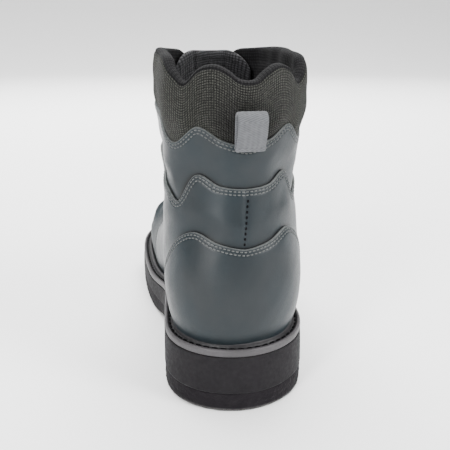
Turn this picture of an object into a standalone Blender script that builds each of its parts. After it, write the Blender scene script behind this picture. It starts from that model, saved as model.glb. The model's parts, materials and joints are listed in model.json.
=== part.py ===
"""A right wading boot: welted felt sole, hollow upper with padded collar, stacked panels, tongue and laces.

Toe towards -Y, heel towards +Y, medial side +X, floor at Z = 0, origin at the middle of the footprint.
"""
import math

import bpy
import bmesh
import numpy as np
from mathutils import Vector

# Driving sizes of the sole, in metres
SOLE_LENGTH = 0.308
BALL_WIDTH = 0.116
HEEL_WIDTH = 0.094
HEEL_HEIGHT = 0.0435
BALL_HEIGHT = 0.029
TOE_SPRING = 0.012
ARCH_RISE = 0.008
FELT_THICKNESS = 0.013
WELT_THICKNESS = 0.005
WELT_REVEAL = 0.009
WELT_INSIDE = 0.006
BEAD_HEIGHT = 0.0018
CHANNEL_DEPTH = 0.0009
INSOLE_THICKNESS = 0.004
FELT_CORNER = 0.0018
RUBBER_CORNER = 0.0016
WELT_CORNER = 0.0008

# Driving sizes of the upper
COLLAR_HEIGHT = 0.204
INSTEP_RISE = 0.184
WALL = 0.0022
COLLAR_PAD = 0.0085
RIM_ROLL = 0.003
SHAFT_TURN = math.radians(3.5)
ANKLE_SHARE = 0.20
SKIN_GAP = 0.0008
SEAT_GAP = 0.0003
COUNTER_THICKNESS = 0.0020
QUARTER_THICKNESS = 0.0016
BAND_THICKNESS = 0.0012
FACING_THICKNESS = 0.0014
THROAT_HALF_GAP = 0.013
TONGUE_HALF_WIDTH = 0.029
TONGUE_THICKNESS = 0.005
TONGUE_RISE = 0.0165
TONGUE_SHOULDER = 0.008
TONGUE_GAP = 0.0013

# Driving sizes of loop, eyelets and laces
LOOP_WIDTH = 0.018
LOOP_HEIGHT = 0.0235
LOOP_OVERLAP = 0.0012
LOOP_DEPTH = 0.0104
LOOP_THICKNESS = 0.0017
EYELET_PAIRS = 6
EYELET_RADIUS = 0.0038
EYELET_WIRE = 0.0010
EYELET_INSET = 0.0095
LACE_RADIUS = 0.0016
LACE_CLEARANCE = 0.0013

# Counts of faces: round the boot and up it, and each panel's columns on one side of the back seam. The
# quarter's columns up to QUARTER_CORNER end in its top edge, the rest in its front edge.
ROUND = 48
LEVELS = 19
HALF_COLUMNS = 18
QUARTER_CORNER = 14

LAST_LENGTH = SOLE_LENGTH - 2 * WELT_REVEAL
LAST_HEEL = HEEL_WIDTH - 2 * WELT_REVEAL
LAST_BALL = BALL_WIDTH - 2 * WELT_REVEAL
BACK_RISE = COLLAR_HEIGHT - HEEL_HEIGHT

# Sections of the upper from the welt up to the collar, each a closed ring that tilts from heel to front.
# back and front are shares of the last's length, back_rise and front_rise shares of the rises of collar
# and instep. The other columns are fullness: a ring's half width is its fullness times the sine of the
# angle round the ring. heel and ankle are shares of the last's heel width, the rest of its ball width.
SECTION_COLUMNS = ("back", "back_rise", "front", "front_rise", "heel", "ankle", "waist", "ball", "toe", "tip")
SECTIONS = (
    (0.000, 0.000, 1.000, 0.000, 0.973, 0.626, 0.387, 0.495, 0.606, 0.768),
    (-0.012, 0.068, 1.010, 0.071, 1.027, 0.684, 0.422, 0.510, 0.625, 0.798),
    (-0.017, 0.150, 0.997, 0.141, 1.049, 0.716, 0.438, 0.495, 0.581, 0.755),
    (-0.015, 0.249, 0.948, 0.201, 1.023, 0.727, 0.433, 0.459, 0.485, 0.654),
    (-0.005, 0.355, 0.838, 0.266, 0.919, 0.716, 0.422, 0.392, 0.367, 0.524),
    (0.007, 0.461, 0.707, 0.353, 0.769, 0.680, 0.400, 0.350, 0.300, 0.395),
    (0.017, 0.567, 0.597, 0.467, 0.637, 0.651, 0.387, 0.349, 0.313, 0.369),
    (0.021, 0.673, 0.507, 0.592, 0.555, 0.633, 0.396, 0.367, 0.339, 0.346),
    (0.017, 0.779, 0.445, 0.717, 0.527, 0.644, 0.419, 0.398, 0.372, 0.349),
    (0.009, 0.885, 0.410, 0.837, 0.540, 0.684, 0.454, 0.441, 0.415, 0.366),
    (0.004, 1.000, 0.390, 1.000, 0.548, 0.691, 0.463, 0.455, 0.434, 0.381),
)

# Shift of the middle line, evenly spaced rows from heel to toe, share of the ball width, lateral side minus.
SWING = (0.0, -0.004, -0.026, -0.050, -0.072, -0.088, -0.098, -0.100, -0.090, -0.068, -0.050)

# Top edge of the collar as a share of its height, evenly spaced rows from back to front: the rear dip, a
# hump, the notch and the wing.
COLLAR_EDGE = (
    1.000, 1.006, 1.028, 1.043, 1.034, 0.996, 1.026, 1.056, 1.067, 1.072, 1.077,
    1.080, 1.081, 1.080, 1.079, 1.077, 1.074, 1.066, 1.052, 1.038, 1.026,
)

# Top edges of the stacked panels as shares of the collar height. The rows lie evenly along PANEL_REACH,
# measured round the boot from the back seam.
PANEL_REACH = 0.155
EDGE_COLUMNS = ("counter", "quarter", "band")
PANEL_EDGES = (
    (0.522, 0.698, 0.822),
    (0.537, 0.706, 0.843),
    (0.562, 0.733, 0.878),
    (0.527, 0.642, 0.826),
    (0.452, 0.700, 0.880),
    (0.365, 0.742, 0.908),
    (0.275, 0.762, 0.920),
    (0.190, 0.772, 0.928),
    (0.105, 0.778, 0.938),
    (0.040, 0.782, 0.952),
    (0.000, 0.785, 0.968),
)

# Angle round the ring where the quarter ends, at the welt and at its top edge, and where the facings end.
QUARTER_FRONT_LOW = math.radians(93)
FACING_BACK = math.radians(125)
THROAT_LEVEL = 0.50
THROAT_ROUND = 0.05
FACING_TOP = 0.93

SLATE = (0.085, 0.100, 0.108, 1.0)
CHARCOAL = (0.030, 0.031, 0.031, 1.0)
BLACK = (0.018, 0.018, 0.019, 1.0)
FELT = (0.030, 0.029, 0.031, 1.0)
WARM_GREY = (0.115, 0.107, 0.112, 1.0)
LIGHT_GREY = (0.340, 0.350, 0.370, 1.0)
STEEL = (0.150, 0.150, 0.155, 1.0)


def smooth(low, high, value):
    """Ease from 0 at low to 1 at high."""
    share = np.clip((value - low) / (high - low), 0.0, 1.0)
    return share * share * (3 - 2 * share)


def along(rows, share):
    """Catmull-Rom curve through evenly spaced rows, read at shares from 0 to 1."""
    rows = np.asarray(rows, float)
    place = np.clip(share, 0.0, 1.0) * (len(rows) - 1)
    start = np.minimum(place.astype(int), len(rows) - 2)
    part = place - start
    first = rows[np.maximum(start - 1, 0)]
    second = rows[start]
    third = rows[start + 1]
    fourth = rows[np.minimum(start + 2, len(rows) - 1)]
    curve = (third - first) * part
    curve = curve + (2 * first - 5 * second + 4 * third - fourth) * part ** 2
    curve = curve + (3 * second - first - 3 * third + fourth) * part ** 3
    return second + curve / 2


def sole_top(run):
    """Height of the sole's top, run metres in front of the back of the heel."""
    heel = smooth(0.60, 0.24, run / SOLE_LENGTH)
    spring = np.clip((run / SOLE_LENGTH - 0.73) / 0.27, 0.0, 1.0) ** 2
    return BALL_HEIGHT + (HEEL_HEIGHT - BALL_HEIGHT) * heel + 0.8 * TOE_SPRING * spring


def sole_bottom(run):
    """Height of the tread: flat heel, breast, arch, flat forefoot, toe spring."""
    share = run / SOLE_LENGTH
    arch = smooth(0.285, 0.330, share) - smooth(0.375, 0.540, share)
    spring = np.clip((share - 0.76) / 0.24, 0.0, 1.0) ** 2
    return ARCH_RISE * arch + TOE_SPRING * spring


def felt_top(run):
    """Height of the joint between felt and midsole, which eases over the heel breast."""
    share = run / SOLE_LENGTH
    arch = smooth(0.26, 0.345, share) - smooth(0.375, 0.540, share)
    spring = np.clip((share - 0.76) / 0.24, 0.0, 1.0) ** 2
    return FELT_THICKNESS + 0.6 * ARCH_RISE * arch + 0.9 * TOE_SPRING * spring


def column(name, level):
    """One column of the section table at levels from 0, the welt, to 1, the collar."""
    values = [row[SECTION_COLUMNS.index(name)] for row in SECTIONS]
    return along(values, level)


def fullness(share, level):
    """Half width over the sine of the angle, at a share of the ring's length from its back."""
    sizes = (("heel", LAST_HEEL), ("ankle", LAST_HEEL), ("waist", LAST_BALL),
             ("ball", LAST_BALL), ("toe", LAST_BALL), ("tip", LAST_BALL))
    stations = np.stack([column(name, level) * size for name, size in sizes])
    place = np.clip(share, 0.0, 1.0) * (len(sizes) - 1)
    start = np.minimum(place.astype(int), len(sizes) - 2)
    part = place - start

    def pick(index):
        index = np.clip(index, 0, len(sizes) - 1)
        return np.take_along_axis(stations, index[None], 0)[0]

    first, second, third, fourth = pick(start - 1), pick(start), pick(start + 1), pick(start + 2)
    curve = (third - first) * part + (2 * first - 5 * second + 4 * third - fourth) * part ** 2
    curve = curve + (3 * second - first - 3 * third + fourth) * part ** 3
    return second + curve / 2


def last_point(angle, level):
    """Point of the upper's outside. The angle is 0 at the back, pi at the front, plus on the lateral side."""
    angle, level = np.broadcast_arrays(np.asarray(angle, float), np.asarray(level, float))
    share = (1 - np.cos(angle)) / 2
    back = WELT_REVEAL + column("back", level) * LAST_LENGTH
    front = WELT_REVEAL + column("front", level) * LAST_LENGTH
    run = back + (front - back) * share
    side = fullness(share, level) * np.sin(angle)
    swing = along(SWING, run / SOLE_LENGTH) * BALL_WIDTH * (1 - smooth(0.35, 0.75, level))
    rise = column("back_rise", level) * BACK_RISE * (1 - share) + column("front_rise", level) * INSTEP_RISE * share
    height = sole_top(run) + rise
    edge = along(COLLAR_EDGE, np.abs(angle) / math.pi) * COLLAR_HEIGHT
    straight = sole_top(run) + BACK_RISE * (1 - share) + INSTEP_RISE * share
    height = height + (edge - straight) * smooth(0.70, 1.0, level)
    turn = SHAFT_TURN * smooth(0.30, 0.85, level)
    behind = ANKLE_SHARE * SOLE_LENGTH - run
    across = (swing - side) * np.cos(turn) - behind * np.sin(turn)
    behind = (swing - side) * np.sin(turn) + behind * np.cos(turn)
    return np.stack([across, (0.5 - ANKLE_SHARE) * SOLE_LENGTH + behind, height], -1)


def last_normal(angle, level):
    """Unit normal of the upper's outside, from differences of its points."""
    step = 1e-3
    low, high = np.maximum(level - step, 0.0), np.minimum(level + step, 1.0)
    turn = last_point(angle + step, level) - last_point(angle - step, level)
    climb = last_point(angle, high) - last_point(angle, low)
    normal = np.cross(turn, climb)
    return normal / np.linalg.norm(normal, axis=-1, keepdims=True)


def skin(angle, level, lift):
    """Point lifted off the upper's outside along its normal."""
    angle, level = np.broadcast_arrays(np.asarray(angle, float), np.asarray(level, float))
    return last_point(angle, level) + last_normal(angle, level) * np.asarray(lift)[..., None]


def side_angle(offset, level):
    """Angle, near the front, where the upper's outside is the given distance from its middle line."""
    return math.pi - np.arcsin(np.clip(offset / fullness(np.ones_like(level), level), 0.0, 1.0))


def padding(angle, level):
    """Share of the collar's padding in the wall: thick round the collar, thin at its rim and at the throat."""
    round_share = np.abs(angle) / math.pi
    body = smooth(0.74, 0.88, level) * (1 - 0.5 * smooth(0.97, 1.0, level))
    return body * (1 - smooth(0.55, 0.72, round_share))


ANGLES = np.linspace(0.0, math.pi, 181)
FINE_LEVELS = np.linspace(0.0, 1.0, 201)
FINE = last_point(ANGLES[:, None], FINE_LEVELS[None, :])
STEPS = np.linalg.norm(np.diff(FINE[..., :2], axis=0), axis=-1)
FINE_ROUND = np.vstack([np.zeros(len(FINE_LEVELS)), np.cumsum(STEPS, axis=0)])


def edge_level(angle, name, shift=0.0):
    """Level at which the upper reaches a panel's top edge plus a shift, at angles round the boot."""
    rows = [row[EDGE_COLUMNS.index(name)] for row in PANEL_EDGES]
    edge = along(rows, FINE_ROUND / PANEL_REACH) * COLLAR_HEIGHT + shift
    above = FINE[..., 2] - edge
    first = np.argmax(above >= 0, axis=1)
    first = np.where(np.any(above >= 0, axis=1), first, len(FINE_LEVELS) - 1)
    before = np.maximum(first - 1, 0)
    index = np.arange(len(ANGLES))
    span = above[index, first] - above[index, before]
    part = np.where(first > 0, -above[index, before] / np.where(span == 0, 1.0, span), 0.0)
    found = FINE_LEVELS[before] + part * (FINE_LEVELS[first] - FINE_LEVELS[before])
    return np.interp(np.abs(angle), ANGLES, np.clip(found, 0.0, 1.0))


def throat_half(level):
    """Half width of the throat's opening, round at its lower end."""
    share = np.clip((level - THROAT_LEVEL) / THROAT_ROUND, 0.0, 1.0)
    return THROAT_HALF_GAP * (np.sqrt(1 - (1 - share) ** 2) + 0.25 * np.clip(level - THROAT_LEVEL, 0.0, 1.0))


ring_angles = np.linspace(0.0, 2 * math.pi, ROUND, endpoint=False)
feather = last_point(ring_angles, 0.0)
turn = np.roll(feather, -1, 0) - np.roll(feather, 1, 0)
outward = np.stack([turn[:, 1], -turn[:, 0]], -1)
outward /= np.linalg.norm(outward, axis=1, keepdims=True)
MIDDLE = (feather[:, 0] + WELT_REVEAL * outward[:, 0]).max() + (feather[:, 0] + WELT_REVEAL * outward[:, 0]).min()
TO_MIDDLE = np.array([-MIDDLE / 2, 0.0, 0.0])


def sole_ring(outset, height):
    """Ring round the sole: outset metres outside the upper's foot line, height a function of the run."""
    plan = feather[:, :2] + outset * outward
    return np.column_stack([plan, height(SOLE_LENGTH / 2 - plan[:, 1])])


def put(mesh_object, collection, material):
    """Places an object in the boot's collection, with its material and smooth shading."""
    for old in list(mesh_object.users_collection):
        old.objects.unlink(mesh_object)
    collection.objects.link(mesh_object)
    mesh_object.data.materials.clear()
    mesh_object.data.materials.append(material)
    mesh_object.data.shade_smooth()
    mesh_object.data.set_sharp_from_angle(angle=math.radians(40))
    return mesh_object


def mesh_from(name, points, faces, weld=0.0):
    """A mesh object from points round the boot's own middle, with close points welded."""
    mesh = bpy.data.meshes.new(name)
    mesh.from_pydata([tuple(point) for point in points + TO_MIDDLE], [], faces)
    if weld:
        build = bmesh.new()
        build.from_mesh(mesh)
        bmesh.ops.remove_doubles(build, verts=build.verts, dist=weld)
        bmesh.ops.dissolve_degenerate(build, edges=build.edges, dist=weld / 10)
        build.to_mesh(mesh)
        build.free()
    return bpy.data.objects.new(name, mesh)


def strip_faces(rows, columns, closed):
    """Quads between the rows of a grid, outward when the rows climb and the columns turn to the left."""
    faces = []
    last = columns if closed else columns - 1
    for row in range(rows - 1):
        for col in range(last):
            right = (col + 1) % columns
            low, high = row * columns, (row + 1) * columns
            faces.append((low + col, low + right, high + right, high + col))
    return faces


def cap_faces(start, count):
    """Strips across a ring, between points that mirror each other about its middle line."""
    half = count // 2
    faces = [(start, start + 1, start + count - 1)]
    for step in range(1, half - 1):
        faces.append((start + step, start + step + 1, start + count - step - 1, start + count - step))
    faces.append((start + half - 1, start + half, start + half + 1))
    return faces


def slab(name, rings):
    """Closed solid through rings from the bottom up, capped by strips across."""
    faces = strip_faces(len(rings), ROUND, True)
    faces += [face[::-1] for face in cap_faces(0, ROUND)]
    faces += cap_faces((len(rings) - 1) * ROUND, ROUND)
    return mesh_from(name, np.concatenate(rings), faces)


def hoop(name, rings):
    """Closed solid swept round the sole, its section running through the rings and back to the first."""
    faces = strip_faces(len(rings), ROUND, True)
    low = (len(rings) - 1) * ROUND
    for col in range(ROUND):
        right = (col + 1) % ROUND
        faces.append((low + col, low + right, right, col))
    return mesh_from(name, np.concatenate(rings), faces)


def thicken(sheet, thickness, offset):
    """Gives an open sheet its wall. Offset -1 grows inwards and 1 outwards."""
    wall = sheet.modifiers.new("Wall", "SOLIDIFY")
    wall.thickness = thickness
    wall.offset = offset
    wall.use_even_offset = True
    wall.use_quality_normals = True
    return wall


def make_outsole():
    """Felt layer with a softened lower edge."""
    rings = [
        sole_ring(WELT_REVEAL - FELT_CORNER, sole_bottom),
        sole_ring(WELT_REVEAL - FELT_CORNER / 6, lambda run: sole_bottom(run) + FELT_CORNER),
        sole_ring(WELT_REVEAL, lambda run: (sole_bottom(run) + felt_top(run)) / 2),
        sole_ring(WELT_REVEAL - FELT_CORNER / 3, felt_top),
    ]
    return slab("outsole", rings)


def make_midsole():
    """Rubber block with a step at each joint and a platform that fills the welt's middle."""
    under_welt = WELT_THICKNESS + SEAT_GAP

    def low(run):
        return felt_top(run) + SEAT_GAP

    def high(run):
        return sole_top(run) - under_welt

    rings = [
        sole_ring(WELT_REVEAL - RUBBER_CORNER, low),
        sole_ring(WELT_REVEAL, lambda run: low(run) + RUBBER_CORNER),
        sole_ring(WELT_REVEAL, lambda run: high(run) - RUBBER_CORNER),
        sole_ring(WELT_REVEAL - RUBBER_CORNER, high),
        sole_ring(-WELT_INSIDE - SEAT_GAP, high),
        sole_ring(-WELT_INSIDE - SEAT_GAP, sole_top),
    ]
    return slab("midsole", rings)


def make_welt():
    """Strip round the sole with a stitch channel and a bead at the foot of the leather."""
    def above(extra):
        return lambda run: sole_top(run) + extra

    rings = [
        sole_ring(-WELT_INSIDE, above(-WELT_THICKNESS)),
        sole_ring(WELT_REVEAL - WELT_CORNER, above(-WELT_THICKNESS)),
        sole_ring(WELT_REVEAL, above(WELT_CORNER - WELT_THICKNESS)),
        sole_ring(WELT_REVEAL, above(-WELT_CORNER)),
        sole_ring(WELT_REVEAL - 1.5 * WELT_CORNER, above(0.0)),
        sole_ring(0.70 * WELT_REVEAL, above(-CHANNEL_DEPTH)),
        sole_ring(0.42 * WELT_REVEAL, above(-CHANNEL_DEPTH)),
        sole_ring(0.36 * WELT_REVEAL, above(0.7 * BEAD_HEIGHT)),
        sole_ring(0.24 * WELT_REVEAL, above(BEAD_HEIGHT)),
        sole_ring(0.13 * WELT_REVEAL, above(0.6 * BEAD_HEIGHT)),
        sole_ring(0.10 * WELT_REVEAL, above(0.0)),
        sole_ring(-WELT_INSIDE, above(0.0)),
    ]
    return hoop("welt", rings)


def make_insole():
    """Plate on the welt's inner margin and the midsole's platform, inside the upper."""
    inside = -(WALL + 2 * SEAT_GAP)
    rings = [
        sole_ring(inside, lambda run: sole_top(run) + SEAT_GAP),
        sole_ring(inside, lambda run: sole_top(run) + 0.75 * INSOLE_THICKNESS),
        sole_ring(inside - 0.25 * INSOLE_THICKNESS, lambda run: sole_top(run) + INSOLE_THICKNESS),
    ]
    return slab("insole", rings)


def make_upper():
    """Hollow shell from the welt to the collar, open underneath, at the collar and along the throat."""
    below = np.linspace(0.0, THROAT_LEVEL, 10)
    above = THROAT_LEVEL + THROAT_ROUND * np.array([0.12, 0.4, 1.0])
    rest = np.linspace(THROAT_LEVEL + THROAT_ROUND, 1.0, LEVELS - 10)[1:]
    levels = np.concatenate([below, above, rest])
    front = np.where(levels <= THROAT_LEVEL, math.pi, side_angle(throat_half(levels), levels))
    spread = np.linspace(-1.0, 1.0, ROUND + 1)
    angles = spread[None, :] * front[:, None]
    rolled = smooth(0.965, 1.0, levels)[:, None] * (1 - smooth(0.55, 0.70, np.abs(angles) / math.pi))
    lift = -RIM_ROLL * rolled
    points = skin(angles, levels[:, None] * np.ones_like(angles), lift)
    points[..., 2] += SEAT_GAP
    faces = strip_faces(len(levels), ROUND + 1, False)
    sheet = mesh_from("upper", points.reshape(-1, 3), faces, weld=1e-6)
    pads = padding(angles, levels[:, None]).reshape(-1)
    group = sheet.vertex_groups.new(name="Padding")
    flat = points.reshape(-1, 3) + TO_MIDDLE
    for vertex in sheet.data.vertices:
        nearest = np.argmin(np.abs(flat - np.array(vertex.co)).sum(1))
        group.add([vertex.index], float(pads[nearest]), "REPLACE")
    wall = thicken(sheet, COLLAR_PAD, -1)
    wall.vertex_group = group.name
    wall.thickness_vertex_group = WALL / COLLAR_PAD
    return sheet


def patch(name, angles, levels, thickness):
    """Overlay on the upper, from grids of angles and levels whose rows climb."""
    lift = np.full(angles.shape, SKIN_GAP)
    points = skin(angles, levels, lift)
    points[..., 2] += SEAT_GAP
    sheet = mesh_from(name, points.reshape(-1, 3), strip_faces(*angles.shape, False))
    thicken(sheet, thickness, 1)
    return sheet


def panel(name, low_line, high_line, thickness, columns, rows):
    """Panel round the back, between a lower and an upper line of angles and levels."""
    spread = np.linspace(-1.0, 1.0, columns)
    climb = np.linspace(0.0, 1.0, rows)[:, None]
    low_angle, low_level = low_line(spread)
    high_angle, high_level = high_line(spread)
    angles = low_angle * (1 - climb) + high_angle * climb
    levels = low_level * (1 - climb) + high_level * climb
    return patch(name, angles, levels, thickness)


def make_panels():
    """Counter, quarter and ankle band, each sitting on the one above with a stepped edge."""
    first_rise = SECTIONS[1][SECTION_COLUMNS.index("back_rise")] * BACK_RISE
    foot = (BEAD_HEIGHT + 5 * SEAT_GAP) / first_rise / (len(SECTIONS) - 1)
    step = QUARTER_FRONT_LOW / HALF_COLUMNS
    counter_columns = int(ANGLES[edge_level(ANGLES, "counter") > 1.1 * foot].max() / step)
    counter_end = counter_columns * step
    facing_edge = FACING_BACK - 4 * SEAT_GAP / LAST_BALL
    corner = QUARTER_CORNER / HALF_COLUMNS
    throat_foot = THROAT_LEVEL + THROAT_ROUND

    def counter_foot(spread):
        return spread * counter_end, np.full_like(spread, foot)

    def counter_top(spread):
        return spread * counter_end, edge_level(spread * counter_end, "counter")

    def quarter_foot(spread):
        angle = spread * QUARTER_FRONT_LOW
        return angle, np.maximum(edge_level(angle, "counter", 2 * SEAT_GAP), foot)

    def quarter_top(spread):
        angle = np.clip(spread / corner, -1.0, 1.0) * facing_edge
        level = edge_level(angle, "quarter")
        down = np.clip((np.abs(spread) - corner) / (1 - corner), 0.0, 1.0)
        return angle, level * (1 - down) + throat_foot * down

    def band_foot(spread):
        angle = np.clip(spread, -1.0, 1.0) * facing_edge
        return angle, edge_level(angle, "quarter", 2 * SEAT_GAP)

    def band_top(spread):
        return spread * facing_edge, edge_level(spread * facing_edge, "band")

    return [
        panel("heel_counter", counter_foot, counter_top, COUNTER_THICKNESS, 2 * counter_columns + 1, 7),
        panel("quarter", quarter_foot, quarter_top, QUARTER_THICKNESS, 2 * HALF_COLUMNS + 1, 10),
        panel("ankle_band", band_foot, band_top, BAND_THICKNESS, 2 * QUARTER_CORNER + 1, 6),
    ]


def make_facing(name, side):
    """Eyestay beside the throat, from the throat's lower end up to the wing."""
    levels = np.linspace(THROAT_LEVEL + THROAT_ROUND, FACING_TOP, 11)[:, None]
    throat = side_angle(throat_half(levels) + 2 * SEAT_GAP, levels)
    share = np.linspace(0.0, 1.0, 6)[None, :]
    angles = FACING_BACK + (throat - FACING_BACK) * share
    levels = levels * np.ones_like(angles)
    if side < 0:
        angles = -angles[:, ::-1]
    return patch(name, angles, levels, FACING_THICKNESS)


def make_tongue():
    """Padded strip under the throat that stands up between the wings."""
    levels = np.linspace(THROAT_LEVEL - 0.03, 1.0, 15)[:, None]
    half = TONGUE_HALF_WIDTH * (0.72 + 0.28 * smooth(THROAT_LEVEL, 0.8, levels))
    spread = np.linspace(-1.0, 1.0, 9)[None, :]
    reach = fullness(np.ones_like(levels), levels)
    angles = math.pi + np.arcsin(np.clip(spread * half / reach, -0.95, 0.95))
    grid = levels * np.ones_like(angles)
    depth = -(WALL + TONGUE_GAP * (1 + smooth(0.6, 1.0, grid)))
    points = skin(angles, grid, depth)
    top = COLLAR_HEIGHT + TONGUE_RISE - TONGUE_SHOULDER * np.clip(2 * np.abs(spread) - 1, 0.0, 1.0) ** 2
    points[..., 2] += (top - points[-1:, :, 2]) * smooth(0.75, 1.0, grid)
    sheet = mesh_from("tongue", points.reshape(-1, 3), strip_faces(*grid.shape, False))
    thicken(sheet, TONGUE_THICKNESS, -1)
    return sheet


def back_line(height, lift):
    """Point of the upper's centre back at a height, lifted off its outside."""
    level = float(np.interp(height, FINE[0, :, 2], FINE_LEVELS))
    return skin(0.0, level, lift)


def make_pull_loop():
    """Webbing folded into a narrow loop, its foot over the ankle band's top edge, its top on the collar."""
    foot_height = PANEL_EDGES[0][EDGE_COLUMNS.index("band")] * COLLAR_HEIGHT - LOOP_OVERLAP
    low = back_line(foot_height, SKIN_GAP + BAND_THICKNESS) + TO_MIDDLE
    high = back_line(foot_height + LOOP_HEIGHT, SKIN_GAP) + TO_MIDDLE
    outline = bpy.data.curves.new("pull_loop", "CURVE")
    outline.dimensions = "2D"
    outline.fill_mode = "BOTH"
    outline.extrude = LOOP_WIDTH / 2
    for inset in (0.0, LOOP_THICKNESS):
        depth = LOOP_DEPTH - 2 * inset
        radius = depth / 2
        points = []
        for step in range(9):
            turn = math.pi * step / 8
            points.append((LOOP_DEPTH / 2 + radius * math.cos(turn),
                           LOOP_HEIGHT - LOOP_DEPTH / 2 + radius * math.sin(turn)))
        foot_radius = radius * 0.5
        middle = LOOP_DEPTH / 2 - radius + foot_radius
        for step in range(5):
            turn = math.pi * (1 + step / 4)
            points.append((middle + foot_radius * math.cos(turn),
                           inset + foot_radius + foot_radius * math.sin(turn)))
        spline = outline.splines.new("POLY")
        spline.points.add(len(points) - 1)
        for point, (across, up) in zip(spline.points, points):
            point.co = (across, up, 0.0, 1.0)
        spline.use_cyclic_u = True
    loop = bpy.data.objects.new("pull_loop", outline)
    lean = math.atan2(high[1] - low[1], high[2] - low[2])
    loop.location = Vector(low) + Vector((0.0, SEAT_GAP, 0.0))
    loop.rotation_euler = (math.pi / 2, lean, math.pi / 2)
    return loop


def front_point(offset, level, lift):
    """Point near the throat, offset sideways from the middle line, lateral side plus."""
    level = np.array([level])
    angle = side_angle(np.array([abs(offset)]), level) * (1 if offset >= 0 else -1)
    return (skin(angle, level, np.array([lift])) + TO_MIDDLE)[0]


def eyelet_places():
    """Offset and level of each eyelet of one side, evenly spaced along the facing, from the toe end up."""
    levels = np.linspace(THROAT_LEVEL + 1.5 * THROAT_ROUND, FACING_TOP - THROAT_ROUND, 60)
    line = last_point(side_angle(throat_half(levels) + EYELET_INSET, levels), levels)
    run = np.concatenate([[0.0], np.cumsum(np.linalg.norm(np.diff(line, axis=0), axis=1))])
    levels = np.interp(np.linspace(0.0, run[-1], EYELET_PAIRS), run, levels)
    return [(float(throat_half(level)) + EYELET_INSET, float(level)) for level in levels]


def make_eyelets(collection, material):
    """Rings on the facings, each copy its own object."""
    top = SKIN_GAP + FACING_THICKNESS + SEAT_GAP + EYELET_WIRE
    bpy.ops.mesh.primitive_torus_add(major_segments=10, minor_segments=4,
                                     major_radius=EYELET_RADIUS, minor_radius=EYELET_WIRE)
    first = bpy.context.object
    for side, letter in ((1, "lateral"), (-1, "medial")):
        for number, (offset, level) in enumerate(eyelet_places(), 1):
            ring = bpy.data.objects.new(f"eyelet_{letter}_{number}", first.data)
            place = front_point(side * offset, level, top)
            away = front_point(side * offset, level, top + 0.01)
            ring.location = Vector(place)
            ring.rotation_euler = Vector(away - place).to_track_quat("Z", "Y").to_euler()
            put(ring, collection, material)
    bpy.data.objects.remove(first)


def lace_run(name, start_side):
    """Mesh of one lace end, zigzag from side to side, level by level, over the eyelets."""
    over = SKIN_GAP + FACING_THICKNESS + 2 * SEAT_GAP + 2 * EYELET_WIRE + LACE_RADIUS + LACE_CLEARANCE
    middle = over + LACE_CLEARANCE + 0.4 * LACE_RADIUS * start_side
    points = []
    side = start_side
    places = eyelet_places()
    for (offset, level), (_, next_level) in zip(places, places[1:] + places[-1:]):
        points.append(front_point(side * offset, level, over))
        if next_level > level:
            points.append(front_point(side * offset * 0.4, level + 0.3 * (next_level - level), middle))
            points.append(front_point(-side * offset * 0.4, level + 0.7 * (next_level - level), middle))
        side = -side
    curve = bpy.data.curves.new(name + "_route", "CURVE")
    curve.dimensions = "3D"
    curve.bevel_depth = LACE_RADIUS
    curve.bevel_resolution = 1
    curve.use_fill_caps = True
    spline = curve.splines.new("POLY")
    spline.points.add(len(points) - 1)
    for target, point in zip(spline.points, points):
        target.co = (*point, 1.0)
    wire = bpy.data.objects.new(name + "_route", curve)
    bpy.context.scene.collection.objects.link(wire)
    bpy.context.view_layer.update()
    evaluated = wire.evaluated_get(bpy.context.evaluated_depsgraph_get())
    mesh = bpy.data.meshes.new_from_object(evaluated)
    build = bmesh.new()
    build.from_mesh(mesh)
    bmesh.ops.remove_doubles(build, verts=build.verts, dist=1e-6)
    bmesh.ops.recalc_face_normals(build, faces=build.faces)
    build.to_mesh(mesh)
    build.free()
    tube = bpy.data.objects.new(name, mesh)
    bpy.data.objects.remove(wire)
    return tube


def make_laces(collection, cutters, material):
    """Crossed lace over the tongue, the two runs joined where they cross."""
    laces = put(lace_run("laces", 1), collection, material)
    other = put(lace_run("laces_second_run", -1), cutters, material)
    other.hide_render = True
    other.display_type = "WIRE"
    join = laces.modifiers.new("Join", "BOOLEAN")
    join.operation = "UNION"
    join.solver = "EXACT"
    join.object = other


def finish(name, color, roughness, metallic=0.0):
    """Plain Principled material."""
    material = bpy.data.materials.new(name)
    material.use_nodes = True
    shader = material.node_tree.nodes["Principled BSDF"]
    shader.inputs["Base Color"].default_value = color
    shader.inputs["Roughness"].default_value = roughness
    shader.inputs["Metallic"].default_value = metallic
    return material


def main():
    for old in list(bpy.data.objects):
        bpy.data.objects.remove(old)
    boot = bpy.data.collections.new("WadingBoot")
    cutters = bpy.data.collections.new("Cutters")
    bpy.context.scene.collection.children.link(boot)
    bpy.context.scene.collection.children.link(cutters)

    leather = finish("SlateLeather", SLATE, 0.5)
    rubber = finish("BlackRubber", BLACK, 0.7)
    put(make_outsole(), boot, finish("Felt", FELT, 0.95))
    put(make_midsole(), boot, rubber)
    put(make_welt(), boot, finish("WeltGrey", WARM_GREY, 0.6))
    put(make_insole(), boot, finish("InsoleFabric", CHARCOAL, 0.9))
    put(make_upper(), boot, leather)
    for overlay in make_panels():
        put(overlay, boot, leather)
    put(make_facing("eyestay_lateral", 1), boot, leather)
    put(make_facing("eyestay_medial", -1), boot, leather)
    put(make_tongue(), boot, finish("BlackTextile", CHARCOAL, 0.9))
    loop = make_pull_loop()
    boot.objects.link(loop)
    loop.data.materials.append(finish("GreyWebbing", LIGHT_GREY, 0.85))
    make_eyelets(boot, finish("DarkMetal", STEEL, 0.35, 1.0))
    make_laces(boot, cutters, finish("LaceCord", BLACK, 0.85))


main()
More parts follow.
